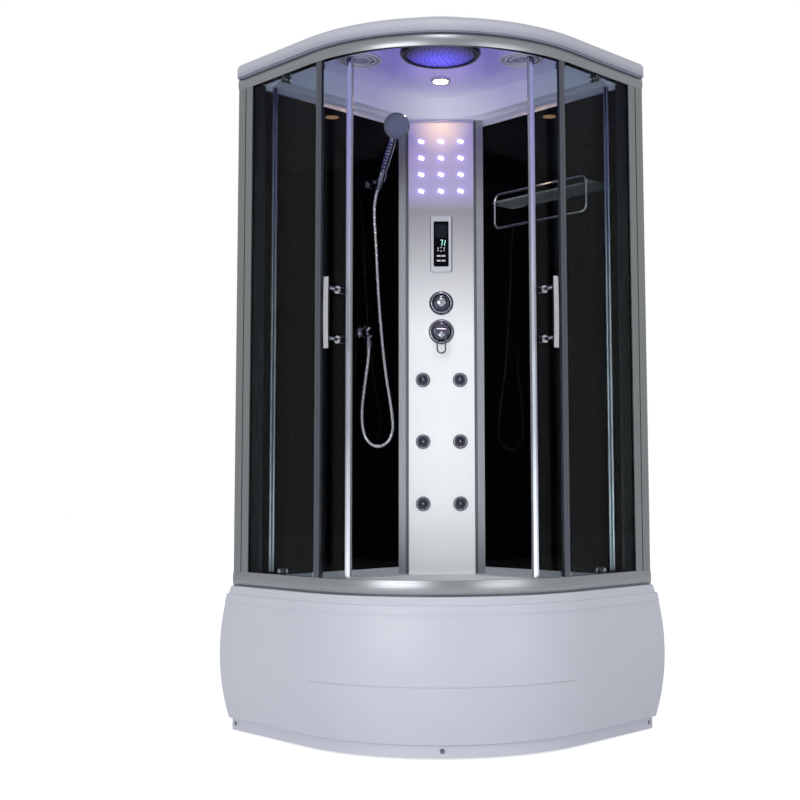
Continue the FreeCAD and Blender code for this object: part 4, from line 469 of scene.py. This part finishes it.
def upright_aluminium():
    """Anodised profiles: pale post faces, darker edge strips on the panes and painted shade in the dark
    channels between.
    """
    material, tree, shader = new_material("upright_aluminium")
    grain = brushing(tree, 6, UP_GRAIN)
    channel_places, post_places = (0.50, 0.535), (0.576, 0.582)
    beside = off_middle(tree, axes(tree)[0], 0.0)
    # Painted shade: the channels between the edge strips and the post faces turn nearly black
    painted_channel_shade = spread(tree, beside, 0, 1, *channel_places)
    post = spread(tree, beside, 0, 1, *post_places)
    post = calculate(tree, "MULTIPLY", post, spread(tree, grain, 0.85, 1.0))
    inner = blend_colours(tree, painted_channel_shade, (0.085, 0.09, 0.11), (0.035, 0.038, 0.040))
    dress(tree, shader, {
        "Base Color": blend_colours(tree, post, inner, (0.19, 0.20, 0.205)),
        "Roughness": spread(tree, grain, 0.24, 0.34),
        "Metallic": 1.0,
    })
    bump(tree, shader, grain, 0.01, 0.0002)
    return material


def lead_aluminium():
    """The doors' profiles with painted light: blue painted high up where the cabin's lights strike them, and
    painted light that leaves them palest at the foot.
    """
    material, tree, shader = new_material("lead_aluminium")
    grain = brushing(tree, 6, UP_GRAIN)
    blue_heights, foot_heights = (1.30, 1.75), (0.47, 0.90)
    height = axes(tree)[2]
    # Painted light: the blue tint high up
    high = spread(tree, height, 0, 1, *blue_heights)
    high = calculate(tree, "MULTIPLY", high, spread(tree, grain, 0.9, 1.0))
    # Painted light: the pale colour at the foot
    foot = spread(tree, height, 1, 0, *foot_heights)
    tint = blend_colours(tree, high, (0.31, 0.33, 0.385), (0.27, 0.275, 0.54))
    dress(tree, shader, {
        "Base Color": blend_colours(tree, foot, tint, (0.78, 0.82, 0.90)),
        "Roughness": spread(tree, grain, 0.20, 0.30),
        "Metallic": 1.0,
    })
    bump(tree, shader, grain, 0.04, 0.0004)
    return material


def lip_acrylic():
    """The roof's acrylic, in the shade of its own turned-in lip low down."""
    material, tree, shader = new_material("roof_acrylic")
    lip_heights = (2.013, 2.036)
    above_lip = spread(tree, axes(tree)[2], 0, 1, *lip_heights)
    pale = calculate(tree, "MULTIPLY", above_lip, spread(tree, cloud(tree), 0.92, 1.0))
    dress(tree, shader, {
        "Base Color": blend_colours(tree, pale, (0.33, 0.325, 0.41), (0.50, 0.515, 0.575)),
        "Roughness": uneven_gloss(tree, 0.28, 0.36),
    })
    bump(tree, shader, noise(tree, 22, 2), 0.02, 0.002)
    return material


def tub_acrylic():
    """White acrylic that is paler inside the ring of the rails, where light falls on it from all sides."""
    material, tree, shader = new_material("tub_acrylic")
    rim_height, rail_radii = 0.43, (0.495, 0.515)
    inside = spread(tree, distance_from(tree, (0, ARC_Y, rim_height)), 1, 0, *rail_radii)
    pale = calculate(tree, "MULTIPLY", inside, spread(tree, cloud(tree), 0.94, 1.0))
    dress(tree, shader, {
        "Base Color": blend_colours(tree, pale, (0.585, 0.605, 0.675), (0.93, 0.94, 0.97)),
        "Roughness": uneven_gloss(tree, 0.36, 0.42),
        "Specular IOR Level": 0.32,
    })
    bump(tree, shader, noise(tree, 9, 1), 0.008, 0.002)
    return material


roof_plastic = lip_acrylic()
tub_plastic = tub_acrylic()
disc_glow = lit_disc()
upright_metal = upright_aluminium()
lead_metal = lead_aluminium()
column_silver = lit_panel()
ceiling_acrylic = lit_ceiling()

FINISH = {
    "tub": tub_plastic, "tub_apron": acrylic, "roof_cover": roof_plastic, "ceiling": ceiling_acrylic,
    "apron_screws": chrome, "tub_frame": steel, "levelling_feet": steel,
    "waste_outlet": drain_plastic, "drain_plug": chrome,
    "bottom_rail": rail_metal, "top_rail": rail_metal, "upright_profiles": upright_metal,
    "fixed_glass": pane, "wall_panels": wall_glass, "wall_strips": strip_metal,
    "column_panel": column_silver, "column_trims": trim_metal, "led_windows": led_window,
    "control_bezel": bezel_metal, "display_glass": display_black,
    "valve_rosettes": chrome, "diverter_knob": chrome, "mixer_cap": chrome, "mixer_lever": chrome,
    "mixer_valve": brass, "jet_sockets": dark_chrome,
    "rain_head": black_plastic, "rain_plate": disc_glow, "lamp_lens": lamp_glow,
    "ceiling_trims": vent_plastic, "vent_backs": duct_plastic, "fan_rotor": duct_plastic,
    "hand_shower": chrome, "hose_top_nut": chrome, "holder_bracket": chrome, "hose_outlet": chrome,
    "shower_hose": hose_metal, "shelf_glass": shelf_pane, "shelf_rail": bright_chrome,
    "left_door_glass": pane, "left_door_profiles": lead_metal, "left_door_fittings": bright_chrome,
    "right_door_glass": pane, "right_door_profiles": lead_metal, "right_door_fittings": bright_chrome,
}
for name, thing in nodes.items():
    if "_wheel_" in name:
        finish = nylon
    elif name.startswith("jet_nozzle"):
        finish = chrome
    else:
        finish = FINISH[name]
    thing.data.materials.clear()
    thing.data.materials.append(finish)


# Steps that the new pieces share
def deselect():
    for thing in bpy.context.selected_objects:
        thing.select_set(False)


def settle(piece, name, material, body, matrix=None, smooth=40):
    """Give a piece its place in its mesh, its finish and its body."""
    piece.name = name
    piece.data.name = name
    bpy.context.view_layer.update()
    piece.data.transform((matrix or Matrix.Identity(4)) @ piece.matrix_world)
    piece.matrix_world = Matrix.Identity(4)
    piece.data.materials.clear()
    piece.data.materials.append(material)
    deselect()
    piece.select_set(True)
    bpy.context.view_layer.objects.active = piece
    bpy.ops.object.shade_smooth_by_angle(angle=math.radians(smooth))
    deselect()
    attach(piece, body)
    return piece


def join(pieces):
    deselect()
    for piece in pieces:
        piece.select_set(True)
    bpy.context.view_layer.objects.active = pieces[0]
    bpy.ops.object.join()
    return bpy.context.view_layer.objects.active


def copies(piece, places):
    """Copies of a piece at more places, each with its own mesh, joined into one."""
    made = [piece]
    for place in places:
        other = piece.copy()
        other.data = piece.data.copy()
        other.location = place
        bpy.context.collection.objects.link(other)
        made.append(other)
    return join(made)


def ring_places(rings, height):
    """Evenly spaced places on circles about the origin."""
    return [Vector((radius * math.cos(turn), radius * math.sin(turn), height))
            for radius, count in rings
            for turn in [2 * math.pi * step / count for step in range(count)]]


def inset_top(piece, steps):
    """Draw a piece's upper face in and up or down, step by step."""
    bpy.ops.object.mode_set(mode="EDIT")
    mesh = bmesh.from_edit_mesh(piece.data)
    for face in mesh.faces:
        face.select = face.normal.z > 0.9
    bmesh.update_edit_mesh(piece.data)
    for thickness, depth in steps:
        bpy.ops.mesh.inset(thickness=thickness, depth=depth)
    bpy.ops.object.mode_set(mode="OBJECT")


def nub(radius, height, place):
    """A small tapered nozzle: a low cylinder whose end is drawn in."""
    deselect()
    bpy.ops.mesh.primitive_cylinder_add(vertices=10, radius=radius, depth=height, location=place)
    piece = bpy.context.object
    inset_top(piece, ((radius * 0.35, height * 0.2), (radius * 0.25, -height * 0.25)))
    return piece


def ball(size, place=(0, 0, 0), segments=24):
    """A ball stretched to its half size along each axis."""
    deselect()
    bpy.ops.mesh.primitive_uv_sphere_add(segments=segments, ring_count=segments // 2, radius=1,
                                         location=place, scale=size)
    return bpy.context.object


def ring(radius, thick, place, around, across, turn=0.0):
    """A ring of round section: flat, or turned to face the front."""
    deselect()
    bpy.ops.mesh.primitive_torus_add(major_radius=radius, minor_radius=thick, major_segments=around,
                                     minor_segments=across, location=place, rotation=(turn, 0, 0))
    return bpy.context.object


def soft_box(size, place, bevel, segments=2):
    """A box with rounded edges."""
    deselect()
    bpy.ops.mesh.primitive_cube_add(size=1, location=place, scale=size)
    piece = bpy.context.object
    bpy.ops.object.transform_apply(location=False, rotation=False, scale=True)
    bpy.ops.object.mode_set(mode="EDIT")
    bpy.ops.mesh.select_all(action="SELECT")
    bpy.ops.mesh.bevel(offset=bevel, segments=segments, affect="EDGES")
    bpy.ops.object.mode_set(mode="OBJECT")
    return piece


# Camera, at the photograph's place
def photo_camera():
    distance, height = 4.434, 0.740
    tilt, roll = math.radians(90 + 5.0), -0.0032
    camera = bpy.data.objects.new("camera", bpy.data.cameras.new("camera"))
    bpy.context.collection.objects.link(camera)
    camera.data.lens = 55.6
    camera.data.sensor_width = 36
    camera.data.shift_x = -0.0533
    camera.data.shift_y = -0.030
    camera.data.clip_end = 60
    camera.matrix_world = (Matrix.Translation((0.0039, CORNER_Y - distance, height))
                           @ Matrix.Rotation(tilt, 4, "X") @ Matrix.Rotation(roll, 4, "Z"))
    scene.camera = camera


photo_camera()

# The hose: its route's points, in millimetres on the left wall, and its ribs
HOSE_ROUTE = [
    (380, 45.56, 1733.31), (380, 30.77, 1701.59), (378, 26, 1645), (370, 28, 1535), (360, 27, 1385),
    (345, 28, 1235), (326, 27, 1110), (308, 28, 1030), (296, 27, 973), (292, 28, 930), (305, 28, 890),
    (340, 27, 866), (382, 28, 866), (416, 27, 891), (431, 28, 930), (433, 27, 985), (420, 28, 1070),
    (407, 27, 1140), (403, 28, 1175), (403, 28, 1193),
]
HOSE_RADIUS = 0.006
HOSE_RIB_PITCH = 0.0036
HOSE_RIB_DEPTH = 0.0007
HOSE_SIDES = 12


def hose_line():
    """Points along the smooth line whose control points are the route."""
    curve = bpy.data.curves.new("hose_line", "CURVE")
    curve.dimensions = "3D"
    curve.resolution_u = 60
    spline = curve.splines.new("NURBS")
    spline.points.add(len(HOSE_ROUTE) - 1)
    for point, place in zip(spline.points, HOSE_ROUTE):
        point.co = (*left_wall(*place), 1)
    spline.order_u = 3
    spline.use_endpoint_u = True
    holder = bpy.data.objects.new("hose_line", curve)
    mesh = bpy.data.meshes.new_from_object(holder)
    points = [vertex.co.copy() for vertex in mesh.vertices]
    bpy.data.objects.remove(holder)
    return points


def even_places(points):
    """Places along a line at even steps, three to each rib."""
    lengths = [0.0]
    for before, after in zip(points, points[1:]):
        lengths.append(lengths[-1] + (after - before).length)
    total = lengths[-1]
    count = int(total / HOSE_RIB_PITCH) * 3
    places = []
    at = 0
    for step in range(count + 1):
        want = total * step / count
        while at < len(points) - 2 and lengths[at + 1] < want:
            at += 1
        share = (want - lengths[at]) / max(lengths[at + 1] - lengths[at], 1e-9)
        places.append(points[at].lerp(points[at + 1], share))
    return places


def hose_tube(points):
    """A tube with shallow ribs along a line."""
    places = even_places(points)
    last = len(places) - 1
    mesh = bmesh.new()
    across = Vector((1, -1, 0)).normalized()
    loops = []
    for step, place in enumerate(places):
        along = (places[min(step + 1, last)] - places[max(step - 1, 0)]).normalized()
        across = (across - along * across.dot(along)).normalized()
        beside = along.cross(across)
        groove = step % 3 == 0 and step not in (0, last)
        wide = HOSE_RADIUS - HOSE_RIB_DEPTH if groove else HOSE_RADIUS
        turns = [2 * math.pi * side / HOSE_SIDES for side in range(HOSE_SIDES)]
        loops.append([mesh.verts.new(place + (across * math.cos(turn) + beside * math.sin(turn)) * wide)
                      for turn in turns])
    for before, after in zip(loops, loops[1:]):
        for side in range(HOSE_SIDES):
            other = (side + 1) % HOSE_SIDES
            mesh.faces.new((before[side], before[other], after[other], after[side]))
    mesh.faces.new(list(reversed(loops[0])))
    mesh.faces.new(loops[-1])
    bmesh.ops.recalc_face_normals(mesh, faces=mesh.faces)
    data = bpy.data.meshes.new("shower_hose_ribbed")
    mesh.to_mesh(data)
    mesh.free()
    piece = bpy.data.objects.new("shower_hose_ribbed", data)
    bpy.context.collection.objects.link(piece)
    return piece


line = hose_line()
hose = hose_tube(line)
hose.data.materials.append(hose_metal)
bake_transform(hose)
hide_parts("shower_hose")

# Hand shower: +Z runs up its handle and +Y out of its face
HANDSET = (Matrix.Translation(left_wall(380, 65, 1775)) @ Matrix.Rotation(math.radians(-135), 4, "Z")
           @ Matrix.Rotation(math.radians(-25), 4, "X") @ Matrix.Rotation(math.radians(-33), 4, "Z"))
SPRAY = HANDSET @ Matrix.Translation((0, 0.0131, 0.177)) @ Matrix.Rotation(math.radians(-90), 4, "X")
SPRAY_RADIUS = 0.038
SPRAY_DEPTH = 0.002
SPRAY_DISH = ((0.002, 0.0006), (0.010, -0.0008))
SPRAY_RINGS = [(0.012, 9), (0.021, 16), (0.029, 24), (0.0345, 30)]
SPRAY_NUB_RADIUS = 0.0014
SPRAY_NUB_HEIGHT = 0.0024
RIM_RADIUS = SPRAY_RADIUS + 0.0015
RIM_THICK = 0.0016
GRIP_SECTIONS = [
    (0, 0.016, 0.0112, 0.0112), (0, 0.022, 0.0128, 0.0122), (-0.001, 0.045, 0.0145, 0.0135),
    (-0.002, 0.075, 0.0152, 0.0138), (-0.001, 0.105, 0.0150, 0.0134),
    (0, 0.126, 0.0134, 0.0124), (0, 0.136, 0.0118, 0.0112),
]
COLLAR_HEIGHTS = (0.0172, 0.1345)
COLLAR_RADIUS = 0.0117
COLLAR_THICK = 0.0012
GRIP_RIB_SIZE = (0.0095, 0.0045, 0.0042)
GRIP_RIB_COUNT = 9
GRIP_RIB_FOOT = 0.030
GRIP_RIB_RISE = 0.011


def spray_face():
    """The hand shower's face: a shallow dished disc, its rim and four rings of rubber nozzles."""
    deselect()
    bpy.ops.mesh.primitive_cylinder_add(vertices=64, radius=SPRAY_RADIUS, depth=SPRAY_DEPTH,
                                        location=(0, 0, 0.0006))
    disc = bpy.context.object
    inset_top(disc, SPRAY_DISH)
    settle(disc, "spray_face", spray_grey, "hand_shower", SPRAY)
    middle = nub(SPRAY_NUB_RADIUS, SPRAY_NUB_HEIGHT, (0, 0, 0.0016))
    dots = copies(middle, ring_places(SPRAY_RINGS, 0.0022))
    settle(dots, "spray_nozzles", rubber, "hand_shower", SPRAY)
    rim = ring(RIM_RADIUS, RIM_THICK, (0, 0, 0.0002), 64, 10)
    settle(rim, "spray_rim", chrome, "hand_shower", SPRAY)


def drawn_bar(sections):
    """A bar drawn out of a disc through sections: how far forward, how high, half its width and depth."""
    deselect()
    forward, height, wide, deep = sections[0]
    bpy.ops.mesh.primitive_circle_add(vertices=28, radius=1, fill_type="NGON")
    bar = bpy.context.object
    bar.scale = (wide, deep, 1)
    bar.location = (0, forward, height)
    bpy.ops.object.transform_apply(location=True, rotation=False, scale=True)
    bpy.ops.object.mode_set(mode="EDIT")
    bpy.ops.mesh.select_all(action="SELECT")
    for before, (forward, height, wide, deep) in zip(sections, sections[1:]):
        bpy.ops.mesh.extrude_region_move(
            TRANSFORM_OT_translate={"value": (0, forward - before[0], height - before[1])})
        bpy.ops.transform.resize(value=(wide / before[2], deep / before[3], 1),
                                 center_override=(0, forward, height))
    bpy.ops.mesh.select_all(action="SELECT")
    bpy.ops.mesh.normals_make_consistent(inside=False)
    bpy.ops.object.mode_set(mode="OBJECT")
    return bar


def handset_grip():
    """The handle's swelling shell, two collars and the lit ribs along its front."""
    settle(drawn_bar(GRIP_SECTIONS), "handset_shell", chrome, "hand_shower", HANDSET, 60)
    collars = [ring(COLLAR_RADIUS, COLLAR_THICK, (0, 0, height), 40, 8) for height in COLLAR_HEIGHTS]
    settle(join(collars), "handset_collars", bright_chrome, "hand_shower", HANDSET)
    ribs = [ball(GRIP_RIB_SIZE, (0.004, 0.0105, GRIP_RIB_FOOT + GRIP_RIB_RISE * step), 16)
            for step in range(GRIP_RIB_COUNT)]
    settle(join(ribs), "handset_ribs", grip_blue, "hand_shower", HANDSET)


spray_face()
handset_grip()

# Rain head
RAIN_RINGS = [(0.015 * step, 5 * step) for step in range(1, 7)]
RAIN_NUB_RADIUS = 0.0013
RAIN_NUB_HEIGHT = 0.002
RAIN_EDGE_RADIUS = 0.1055
RAIN_EDGE_THICK = 0.0016


def rain_face():
    """The rain head's lit disc has rings of fine nozzles, and a thin ring closes its edge."""
    under = Matrix.Translation((0, RAIN_Y, CEILING_Z - 0.022)) @ Matrix.Rotation(math.pi, 4, "X")
    dots = copies(nub(RAIN_NUB_RADIUS, RAIN_NUB_HEIGHT, (0, 0, 0.0008)), ring_places(RAIN_RINGS, 0.0008))
    settle(dots, "rain_nozzles", rain_dot, "cabin", under)
    edge = ring(RAIN_EDGE_RADIUS, RAIN_EDGE_THICK, (0, 0, 0.0012), 96, 8)
    settle(edge, "rain_ring", black_plastic, "cabin", under)


rain_face()

# The control's display: flat marks on its glass
DISPLAY_Y = COLUMN_Y - 0.0073
MARK_DEPTH = 0.0006
FIELD_Z = 1.617
DIGIT_Z = 1.576
ICON_Z = 1.5534
KEY_HEIGHTS = (1.5300, 1.5132)
BAR_LONG = 0.0092
BAR_FLAT = 0.0080
BAR_THICK = 0.0024
BAR_RISE = 0.0098
BAR_OUT = 0.0036
BAR_LEAN = 0.0022


def mark(wide, high, across, height):
    """A flat mark on the display's glass."""
    return soft_box((wide, MARK_DEPTH, high), (across, DISPLAY_Y, height), 0.0002, 1)


def digit(middle, topped):
    """A slanted digit: the two bars of its right side and, where it is topped, one across its head."""
    bars = []
    if topped:
        bars.append(mark(BAR_FLAT, BAR_THICK, middle + BAR_LEAN, DIGIT_Z + BAR_RISE))
    for up in (0.5, -0.5):
        bars.append(mark(BAR_THICK, BAR_LONG, middle + BAR_OUT + up * BAR_LEAN, DIGIT_Z + up * BAR_RISE))
    return bars


def display_marks():
    """The dark display: a lit field, two slanted green digits, icons and rows of keys."""
    settle(mark(0.040, 0.046, 0.0, FIELD_Z), "display_field", lcd_glass, "cabin")
    digits = digit(0.0, True) + digit(0.0095, False)
    settle(join(digits), "display_digits", sign_glow, "cabin")
    keys = []
    for side in (-1, 1):
        keys += [mark(0.0135, 0.0052, side * 0.0082, height) for height in KEY_HEIGHTS]
        keys += [mark(0.0048, 0.0034, side * 0.0105, ICON_Z + lift * 0.0042) for lift in (-1, 1)]
        keys.append(mark(0.0050, 0.0034, 0.0, ICON_Z + side * 0.0062))
    settle(join(keys), "display_keys", key_glow, "cabin")


def bezel_grooves():
    """A dark joint down each long side of the control's bezel."""
    joints = [soft_box((wide, 0.0035, 0.190), (middle, COLUMN_Y - 0.0016, BEZEL_Z), 0.0004, 1)
              for middle, wide in ((-0.0364, 0.0018), (0.0370, 0.0030))]
    settle(join(joints), "bezel_grooves", shade_and_joint_metal, "cabin")


display_marks()
bezel_grooves()

# The column's lights and mouldings
LIGHT_SIZE = (0.0195, 0.0006, 0.0120)
LIGHT_SLANT = math.radians(22)
CORNICE_SIZE = (0.232, 0.016, 0.0070)
CORNICE_Z = 2.0085
SHADE_SIZE = (0.0095, 0.0010, 1.574)
SHADE_X = 0.1186
SHADE_MIDDLE = 1.2235


def light_windows():
    """A slanted bright light behind each round window."""
    lights = []
    for row in range(WINDOW_ROWS):
        for column in (-1, 0, 1):
            light = soft_box(LIGHT_SIZE, (0, 0, 0), 0.00025, 1)
            light.rotation_euler = (0, LIGHT_SLANT, 0)
            light.location = (column * WINDOW_PITCH, COLUMN_Y - 0.0018, WINDOW_FOOT + row * WINDOW_RISE)
            lights.append(light)
    settle(join(lights), "window_lights", led_glow, "cabin")


def column_cornice():
    """The moulding across the column's head, and a strip of painted shade down the inner half of each side
    trim.
    """
    head = soft_box(CORNICE_SIZE, (0, COLUMN_Y - 0.0068, CORNICE_Z), 0.001)
    settle(head, "cornice", cornice_metal, "cabin")
    # Painted shade: a dark strip laid on the inner half of each side trim
    shades = [soft_box(SHADE_SIZE, (side * SHADE_X, COLUMN_Y - 0.0042, SHADE_MIDDLE), 0.0003, 1)
              for side in (-1, 1)]
    settle(join(shades), "trim_painted_shade", shade_and_joint_metal, "cabin")


light_windows()
column_cornice()

# Knobs and jets: sizes, and how far each part's middle stands out of the column
ROSETTES = ((DIVERTER_Z, 0.0335), (MIXER_Z, 0.0372))
ROSETTE_THICK = 0.0042
ROSETTE_OUT = 0.0122
DOME_SHARE = 0.35
JET_OUT = 0.0098
SOCKET_OUT = 0.0070
CAP_RADIUS = 0.0038
CAP_SHARE = 0.6
BORE_RADIUS = 0.0010
BORE_HEIGHT = 0.0012
BORE_CIRCLE = 0.0066
BORE_COUNT = 6


def rosette_rings():
    """A rounded chrome ring about the diverter and one about the mixer."""
    rings = [ring(radius, ROSETTE_THICK, (0, COLUMN_Y - ROSETTE_OUT, height), 72, 16, math.pi / 2)
             for height, radius in ROSETTES]
    settle(join(rings), "rosette_rings", ring_chrome, "cabin")


def knob_dome(name, body, height, out, radius):
    """The flattened dome in the middle of a knob."""
    place = Matrix.Translation((0, COLUMN_Y - out, height)) @ FACING
    dome = ball((radius, radius, radius * DOME_SHARE), segments=32)
    settle(dome, name, ring_chrome, body, place)


def jet_places():
    """The body jets' places across and up, in the order of their numbers."""
    return [(side * JET_X, height) for height in JET_HEIGHTS for side in (-1, 1)]


def jet_nozzle(number, across, height):
    """A body jet's cap, one bore behind it and the others in a circle."""
    front = Matrix.Translation((across, COLUMN_Y - JET_OUT, height)) @ FACING
    body = "jet_nozzle_%d" % number
    cap = ball((CAP_RADIUS, CAP_RADIUS, CAP_RADIUS * CAP_SHARE))
    settle(cap, "jet_cap_%d" % number, bright_chrome, body, front)
    bores = copies(nub(BORE_RADIUS, BORE_HEIGHT, (0, 0, 0)), ring_places([(BORE_CIRCLE, BORE_COUNT)], 0))
    settle(bores, "jet_bores_%d" % number, rubber, body, front)


def jet_rings(name, finish, radius, thick):
    """A ring in each jet's socket."""
    rings = [ring(radius, thick, (across, COLUMN_Y - SOCKET_OUT, height), 48, 12, math.pi / 2)
             for across, height in jet_places()]
    settle(join(rings), name, finish, "cabin")


rosette_rings()
knob_dome("diverter_dome", "diverter_knob", DIVERTER_Z, 0.0365, 0.0205)
knob_dome("mixer_dome", "mixer_cap", MIXER_Z - 0.0145, 0.0465, 0.0135)
for number, (across, height) in enumerate(jet_places(), 1):
    jet_nozzle(number, across, height)
jet_rings("jet_rings", rubber, 0.0172, 0.0012)
jet_rings("jet_collars", ring_chrome, 0.0206, 0.0030)

# Vents
VENT_RADII = (0.066, 0.049, 0.034)
VENT_THICK = 0.0024


def vent_rings():
    """Raised rings on the two round vents of the ceiling."""
    rings = [ring(radius, VENT_THICK, (side * VENT_X, VENT_Y, CEILING_Z - 0.0058), 72, 10)
             for side in (-1, 1) for radius in VENT_RADII]
    settle(join(rings), "vent_rings", vent_ring, "cabin")


vent_rings()

# The long groove across the apron
CREASE_RADIUS = 0.5919
CREASE_REACH = math.radians(38.8)
CREASE_Z = 0.199
CREASE_THICK = 0.0009
CREASE_STRETCH = 1.75


def crease_line():
    """The groove's painted shade: a stretch of a thin ring that is higher than it is deep, laid in its
    bottom.
    """
    # Painted shade: a darker strip along the groove's bottom
    crease = ring(CREASE_RADIUS, CREASE_THICK, (0, 0, 0), 720, 8)
    bpy.ops.object.mode_set(mode="EDIT")
    mesh = bmesh.from_edit_mesh(crease.data)
    for vert in mesh.verts:
        vert.select = abs(math.atan2(vert.co.x, -vert.co.y)) > CREASE_REACH
    bmesh.update_edit_mesh(crease.data)
    mesh.select_flush(True)
    bpy.ops.mesh.delete(type="VERT")
    bpy.ops.mesh.select_all(action="SELECT")
    bpy.ops.mesh.fill_holes(sides=0)
    bpy.ops.mesh.select_all(action="SELECT")
    bpy.ops.mesh.normals_make_consistent(inside=False)
    bpy.ops.object.mode_set(mode="OBJECT")
    place = Matrix.Translation((0, ARC_Y, CREASE_Z)) @ Matrix.Diagonal((1, 1, CREASE_STRETCH, 1))
    settle(crease, "apron_crease", crease_shade, "cabin", place)


crease_line()

# Door seals
SEAL_ANGLE = 0.165
SEAL_RADIUS = 0.5115
SEAL_MIDDLE = 1.229
SEAL_SIZE = (0.0026, 0.009, 1.496)


def door_rest(angle, radius, side):
    """A place on a door, given in degrees and metres as when it is shut, moved to where it stands open."""
    turn = math.radians(angle)
    shut = Vector((-radius * math.sin(turn), -radius * math.cos(turn), 0)) - HINGE
    moved = Matrix.Rotation(-DOOR_SWING, 3, "Z") @ shut + HINGE
    return Vector((moved.x * side, moved.y + ARC_Y, 0))


def door_seal(side, body, label):
    """The soft lip along the leading profile."""
    place = door_rest(SEAL_ANGLE, SEAL_RADIUS, side) + Vector((0, 0, SEAL_MIDDLE))
    turned = Matrix.Translation(place) @ Matrix.Rotation(-DOOR_SWING * side, 4, "Z")
    lip = soft_box(SEAL_SIZE, (0, 0, 0), 0.0009)
    settle(lip, label, seal_plastic, body, turned)


door_seal(1, "left_door", "left_door_seal")
door_seal(-1, "right_door", "right_door_seal")


# Studio: floor, world and lamps
def seen_white(tree):
    """One for the rays that show the background: the camera's, mirrored ones and those through glass."""
    path = tree.nodes.new("ShaderNodeLightPath")
    either = calculate(tree, "MAXIMUM", path.outputs["Is Camera Ray"], path.outputs["Is Glossy Ray"])
    return calculate(tree, "MAXIMUM", either, path.outputs["Is Transmission Ray"])


def studio_floor():
    deselect()
    bpy.ops.mesh.primitive_plane_add(size=30, location=(0, 0, 0))
    floor = bpy.context.object
    floor.name = "studio_floor"
    paint, tree, shader = new_material("floor_paint")
    dress(tree, shader, {
        "Base Color": (0.9, 0.9, 0.9),
        "Roughness": 0.8,
        "Specular IOR Level": 0.1,
        "Emission Color": (1.0, 1.0, 1.0),
        "Emission Strength": calculate(tree, "MULTIPLY", seen_white(tree), 0.7),
    })
    floor.data.materials.append(paint)


def background(tree, colour, strength):
    node = tree.nodes.new("ShaderNodeBackground")
    dress(tree, node, {"Color": colour, "Strength": strength})
    return node.outputs[0]


def studio_world():
    """A soft fill light, seen as plain white."""
    world = bpy.data.worlds.new("studio")
    scene.world = world
    world.use_nodes = True
    tree = world.node_tree
    tree.nodes.clear()
    out = tree.nodes.new("ShaderNodeOutputWorld")
    fill = background(tree, (0.93, 0.95, 1.0), 0.42)
    white = background(tree, (1.0, 1.0, 1.0), 1.0)
    tree.links.new(mix_shaders(tree, seen_white(tree), fill, white), out.inputs[0])


def lamp(name, shape, power):
    """A lamp with a flat glowing face."""
    data = bpy.data.lights.new(name, "AREA")
    data.shape = shape
    data.energy = power
    thing = bpy.data.objects.new(name, data)
    bpy.context.collection.objects.link(thing)
    return thing


def soft_lamp(name, place, target, size, power):
    """A large lamp that faces a place on the cabin."""
    thing = lamp(name, "RECTANGLE", power)
    thing.data.size, thing.data.size_y = size
    thing.location = place
    thing.rotation_euler = (Vector(target) - Vector(place)).to_track_quat("-Z", "Y").to_euler()


def cabin_light():
    """The small warm lamp in the ceiling, which shines down."""
    thing = lamp("cabin_light", "DISK", 0.36)
    thing.data.size = 0.05
    thing.data.color = (1.0, 0.72, 0.5)
    thing.data.spread = math.radians(130)
    thing.location = (0, LAMP_Y, CEILING_Z - 0.02)


studio_floor()
studio_world()
soft_lamp("key_lamp", (-1.9, -3.9, 1.3), (0, 0, 1.0), (2.2, 1.8), 62)
soft_lamp("fill_lamp", (2.5, -3.4, 1.2), (0, 0, 1.0), (2.0, 1.8), 30)
soft_lamp("high_lamp", (0, -3.6, 4.0), (0, -0.4, 2.0), (0.9, 0.5), 16)
cabin_light()
scene.view_settings.view_transform = "Standard"
